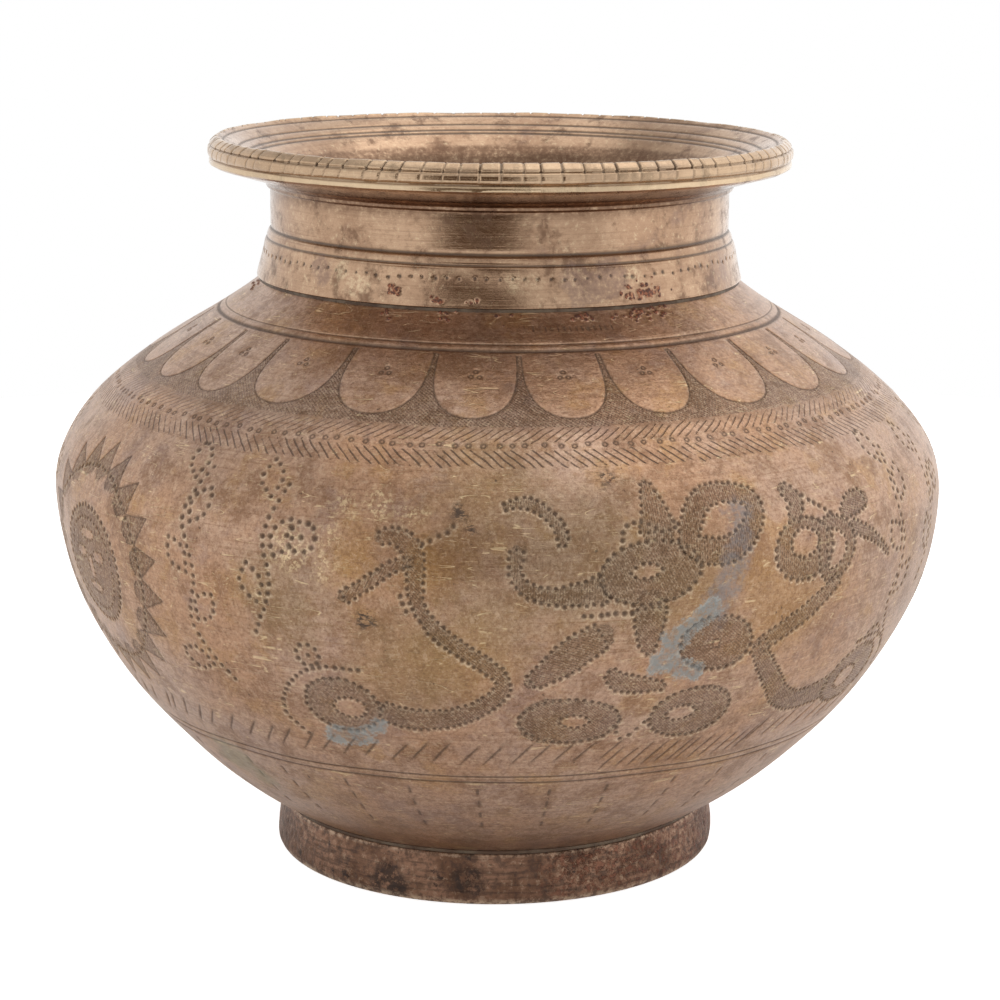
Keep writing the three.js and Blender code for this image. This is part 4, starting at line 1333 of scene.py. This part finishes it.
def rimFinish():
    # The same bronze, cleaner and shinier, with turned rings round it, blotches of brown tarnish, and a
    # painted shadow under the rim
    kit = Finish("rimBronze")
    place = kit.place()
    _, grime, worn = kit.layer("marks")
    crust = kit.layer("patina")[0]
    rings = kit.noise(place, 0.8, 5, 0.65, (0.03, 0.03, 2.2))
    broad = kit.noise(place, 13.0, 5, 0.65)
    middle = kit.noise(place, 4.5, 6, 0.7)
    small = kit.noise(place, 0.9, 5, 0.75)
    colour = kit.mixed(kit.ramp(broad, 0.42, 0.6), rimLook["pale"], rimLook["base"])
    colour = kit.mixed(kit.times(kit.ramp(rings, 0.45, 0.75), 0.45), colour, rimLook["ring"])
    stain = kit.times(kit.ramp(middle, 0.5, 0.66), 0.7)
    colour = kit.mixed(stain, colour, rimLook["stain"])
    colour = kit.mottled(colour, rimLook, (
        (broad, 0.58, 0.7, 0.45, "purple"),
        (small, 0.52, 0.72, 0.55, "ring"),
        (small, 0.46, 0.32, 0.35, "burr")))
    colour = kit.mixed(kit.times(worn, 0.55), colour, rimLook["burr"])
    colour = kit.mixed(kit.times(grime, 0.85), colour, bronzeLook["grime"])
    # Painted shadow: a darker band in the stain colour on the top of the neck and under the rim, where the
    # rim's overhang shades it
    under = kit.node("ShaderNodeSeparateXYZ", {0: place}).outputs[2]
    shadow = kit.times(kit.ramp(under, 111.5, 114.3), kit.ramp(under, 117.4, 116.6))
    colour = kit.mixed(kit.times(shadow, kit.ramp(small, 0.3, 0.6, 0.3, 0.8)), colour, rimLook["stain"])
    stained = kit.times(kit.spots(place, [onSkirt(*spot) for spot in rimLook["stains"]], 3.5),
                      kit.ramp(small, 0.38, 0.56, 0.15, 0.5))
    colour = kit.mixed(stained, colour, rimLook["purple"])
    rubbed = kit.times(kit.spots(place, [onSkirt(*spot) for spot in rimLook["rubbed"]], 1.6),
                     kit.ramp(small, 0.56, 0.44, 0.05, 0.4))
    colour = kit.mixed(rubbed, colour, rimLook["burr"])
    grain = kit.noise(place, 0.5, 3, 0.75)
    granular = kit.times(crust, kit.ramp(grain, 0.36, 0.58, 0.35, 1.3))
    rust = kit.times(kit.ramp(granular, 0.05, 0.5), 0.92)
    crustColour = kit.mixed(kit.ramp(grain, 0.42, 0.56), bronzeLook["crust"], bronzeLook["scab"])
    colour = kit.mixed(rust, colour, crustColour)
    dull = kit.most(kit.most(grime, rust), stain)
    rough = kit.plus(kit.scaled(small, 0.2, 0.06), kit.times(dull, 0.25), clamp=True)
    metallic = kit.ramp(kit.most(grime, rust), 0.3, 1.0, 0.97, 0.3)
    height = kit.plus(kit.times(rings, 0.5), kit.times(small, 0.5))
    return kit.finish(colour, metallic, rough, height, 0.06)


footLook = {"base": (0.31, 0.175, 0.113), "brown": (0.17, 0.088, 0.053), "dark": (0.07, 0.042, 0.03),
            "black": (0.03, 0.022, 0.02), "worn": (0.66, 0.5, 0.36), "crust": (0.2, 0.068, 0.04)}


def footFinish():
    # Pitted, red-brown and dull, blotched dark, crusted red on one side, with a bright worn edge at the
    # ground
    kit = Finish("footBronze")
    place = kit.place()
    _, grime, worn = kit.layer("marks")
    broad = kit.noise(place, 9.0, 4, 0.6)
    small = kit.noise(place, 1.3, 5, 0.75)
    fine = kit.noise(place, 0.5, 3, 0.75)
    streak = kit.noise(place, 1.2, 4, 0.65, (0.12, 0.12, 1.8))
    colour = kit.mixed(kit.ramp(broad, 0.42, 0.6), footLook["base"], footLook["brown"])
    colour = kit.mottled(colour, footLook, (
        (streak, 0.5, 0.64, 0.6, "dark"),
        (small, 0.49, 0.62, 0.65, "dark"),
        (small, 0.46, 0.36, 0.28, "worn")))
    blotch = [(*foot["blotch"], 3.2, 1.5), (*foot["smallBlotch"], 2.2, 1.2)]
    black = kit.times(kit.spots(place, blotch, 4.5), kit.ramp(kit.noise(place, 1.6, 4, 0.75), 0.4, 0.5))
    black = kit.most(black, kit.ramp(kit.noise(place, 3.4, 4, 0.7), 0.62, 0.68))
    colour = kit.mixed(kit.times(black, 0.8), colour, footLook["black"])
    side = kit.node("ShaderNodeSeparateXYZ", {0: place}).outputs[0]
    red = kit.times(kit.ramp(side, 4, 13), kit.ramp(kit.noise(place, 1.0, 4, 0.75), 0.5, 0.58))
    colour = kit.mixed(kit.times(red, 0.55), colour, footLook["crust"])
    colour = kit.mixed(kit.times(worn, kit.ramp(small, 0.56, 0.42, 0.1, 0.9)), colour, footLook["worn"])
    colour = kit.mixed(kit.times(grime, 0.6), colour, bronzeLook["grime"])
    rough = kit.scaled(small, 0.4, 0.2, clamp=True)
    height = kit.plus(kit.times(small, 0.8), kit.times(fine, 0.35))
    height = kit.plus(height, kit.times(red, 0.5))
    return kit.finish(colour, kit.ramp(small, 0.4, 0.62, 0.9, 0.6), rough, height, 0.22)


def solderFinish(name, pale, dark):
    # Metal blotched between a pale and a dark colour, dull and grainy, with dark brown specks
    kit = Finish(name)
    place = kit.place()
    grain = kit.noise(place, 1.0, 5, 0.7)
    blotch = kit.noise(place, 6.0, 3, 0.6)
    colour = kit.mixed(kit.ramp(blotch, 0.4, 0.6), pale, dark)
    colour = kit.mixed(kit.times(kit.ramp(grain, 0.5, 0.7), 0.7), colour, (0.07, 0.045, 0.03))
    return kit.finish(colour, kit.ramp(grain, 0.4, 0.7, 0.7, 0.3), kit.ramp(grain, 0.3, 0.7, 0.45, 0.7),
                      grain, 0.15)


slots = {"upper_body": "body_bronze", "lower_body": "body_bronze", "rim_neck": "rim_bronze",
         "foot_ring": "foot_bronze",
         "neck_braze": "solder", "foot_braze": "solder", "belly_braze": "spelter"}
finishes = {"body_bronze": bodyFinish(), "rim_bronze": rimFinish(), "foot_bronze": footFinish(),
            "solder": solderFinish("greySolder", (0.17, 0.128, 0.09), (0.11, 0.068, 0.045)),
            "spelter": solderFinish("spelter", (0.45, 0.34, 0.2), (0.3, 0.2, 0.11))}
for node, piece in pieces.items():
    piece.data.materials.append(finishes[slots[node]])
    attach(piece, "root")
    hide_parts(node)
print("finishes made")


studio = {"floorRadius": 0.45, "floorDrop": 0.0002, "floorGlow": 0.85, "floorBounce": 0.2, "left": -0.5,
          "right": 0.19, "gap": (0.13, 0.088, 0.058),
          "softness": 0.03, "topLeft": 0.66, "topRight": 1.32, "leftGain": 1.05, "rightGain": 1.3,
          "upperFront": 0.16}


def makeFloor():
    angle = around(96)
    disc = np.stack([np.cos(angle), np.sin(angle), 0 * angle],
                    1) * studio["floorRadius"] - [0, 0, studio["floorDrop"]]
    mesh = bpy.data.meshes.new("floor")
    mesh.from_pydata(disc.tolist(), [], [list(range(96))])
    floor = bpy.data.objects.new("floor", mesh)
    scene.collection.objects.link(floor)
    kit = Finish("whitePaper")
    # The floor glows: strongly to the camera, so it looks evenly white, and weakly to every other ray, as
    # painted bounce light on the pot from below
    seen = kit.node("ShaderNodeLightPath").outputs["Is Camera Ray"]
    glow = kit.ramp(seen, 0.0, 1.0, studio["floorBounce"], studio["floorGlow"])
    shader = kit.node("ShaderNodeBsdfPrincipled", {"Base Color": (0.8, 0.8, 0.8, 1), "Roughness": 0.9,
                                                       "Emission Color": (1, 1, 1, 1),
                                                       "Emission Strength": glow})
    kit.tree.links.new(shader.outputs[0], kit.output.inputs["Surface"])
    mesh.materials.append(kit.material)


makeFloor()


def makeStudio():
    # White all round, with a dark slit in front where the camera stands: its walls are planes of constant x
    world = bpy.data.worlds.new("studio")
    world.use_nodes = True
    scene.world = world
    tree = world.node_tree
    shade = tree.nodes["Background"]
    shade.inputs["Color"].default_value = (1, 1, 1, 1)

    def node(kind, values, **settings):
        made = tree.nodes.new(kind)
        for key, value in settings.items():
            setattr(made, key, value)
        for key, value in values.items():
            if isinstance(value, bpy.types.NodeSocket):
                tree.links.new(value, made.inputs[key])
            else:
                made.inputs[key].default_value = value
        return made.outputs[0]

    def ramp(value, low, high, toLow, toHigh):
        return node("ShaderNodeMapRange", {0: value, 1: low, 2: high, 3: toLow, 4: toHigh},
                    interpolation_type="SMOOTHSTEP")

    def product(first, second):
        return node("ShaderNodeMath", {0: first, 1: second}, operation="MULTIPLY")

    way = tree.nodes.new("ShaderNodeTexCoord").outputs["Generated"]
    split = tree.nodes.new("ShaderNodeSeparateXYZ")
    tree.links.new(way, split.inputs[0])
    x, y, z = split.outputs
    soft = studio["softness"]
    slit = product(ramp(x, studio["left"] - soft, studio["left"] + soft, 0, 1),
                   ramp(x, studio["right"] - soft, studio["right"] + soft, 1, 0))
    slit = product(slit, ramp(y, -0.25, 0.1, 1, 0))
    slit = product(slit, ramp(z, 0.2, 0.55, 1, studio["upperFront"]))
    overhead = ramp(z, 0.3, 0.8, 0, 1)
    top = ramp(x, -0.4, 0.75, studio["topLeft"], studio["topRight"])
    walls = ramp(x, -0.5, 0.5, studio["leftGain"], studio["rightGain"])
    light = node("ShaderNodeMix", {0: overhead, 2: walls, 3: top}, data_type="FLOAT")
    rightDim = product(ramp(x, 0.15, 0.25, 0, 1), ramp(x, 0.75, 0.9, 1, 0))
    rightDim = product(rightDim, ramp(y, -0.3, 0.1, 1, 0))
    light = product(light, node("ShaderNodeMath", {0: rightDim, 1: -0.3, 2: 1.0}, operation="MULTIPLY_ADD"))
    mixer = tree.nodes.new("ShaderNodeMix")
    mixer.data_type = "RGBA"
    tree.links.new(slit, mixer.inputs[0])
    tree.links.new(light, mixer.inputs[6])
    mixer.inputs[7].default_value = (*studio["gap"], 1)
    direct = tree.nodes.new("ShaderNodeLightPath").outputs["Is Camera Ray"]
    final = tree.nodes.new("ShaderNodeMix")
    final.data_type = "RGBA"
    tree.links.new(direct, final.inputs[0])
    tree.links.new(mixer.outputs[2], final.inputs[6])
    final.inputs[7].default_value = (1, 1, 1, 1)
    tree.links.new(final.outputs[2], shade.inputs["Color"])


makeStudio()
scene.view_settings.view_transform = "Standard"


def softbox(name, place, size, power, aim=(0, 0, 0.07)):
    data = bpy.data.lights.new(name, "AREA")
    data.shape = "RECTANGLE"
    data.size, data.size_y = size
    data.energy = power
    light = bpy.data.objects.new(name, data)
    light.location = place
    light.rotation_euler = (Vector(aim) - Vector(place)).to_track_quat("-Z", "Y").to_euler()
    scene.collection.objects.link(light)


softbox("overhead", (0.1, 0.15, 1.2), (1.2, 1.2), 2.5)
print("studio lit")
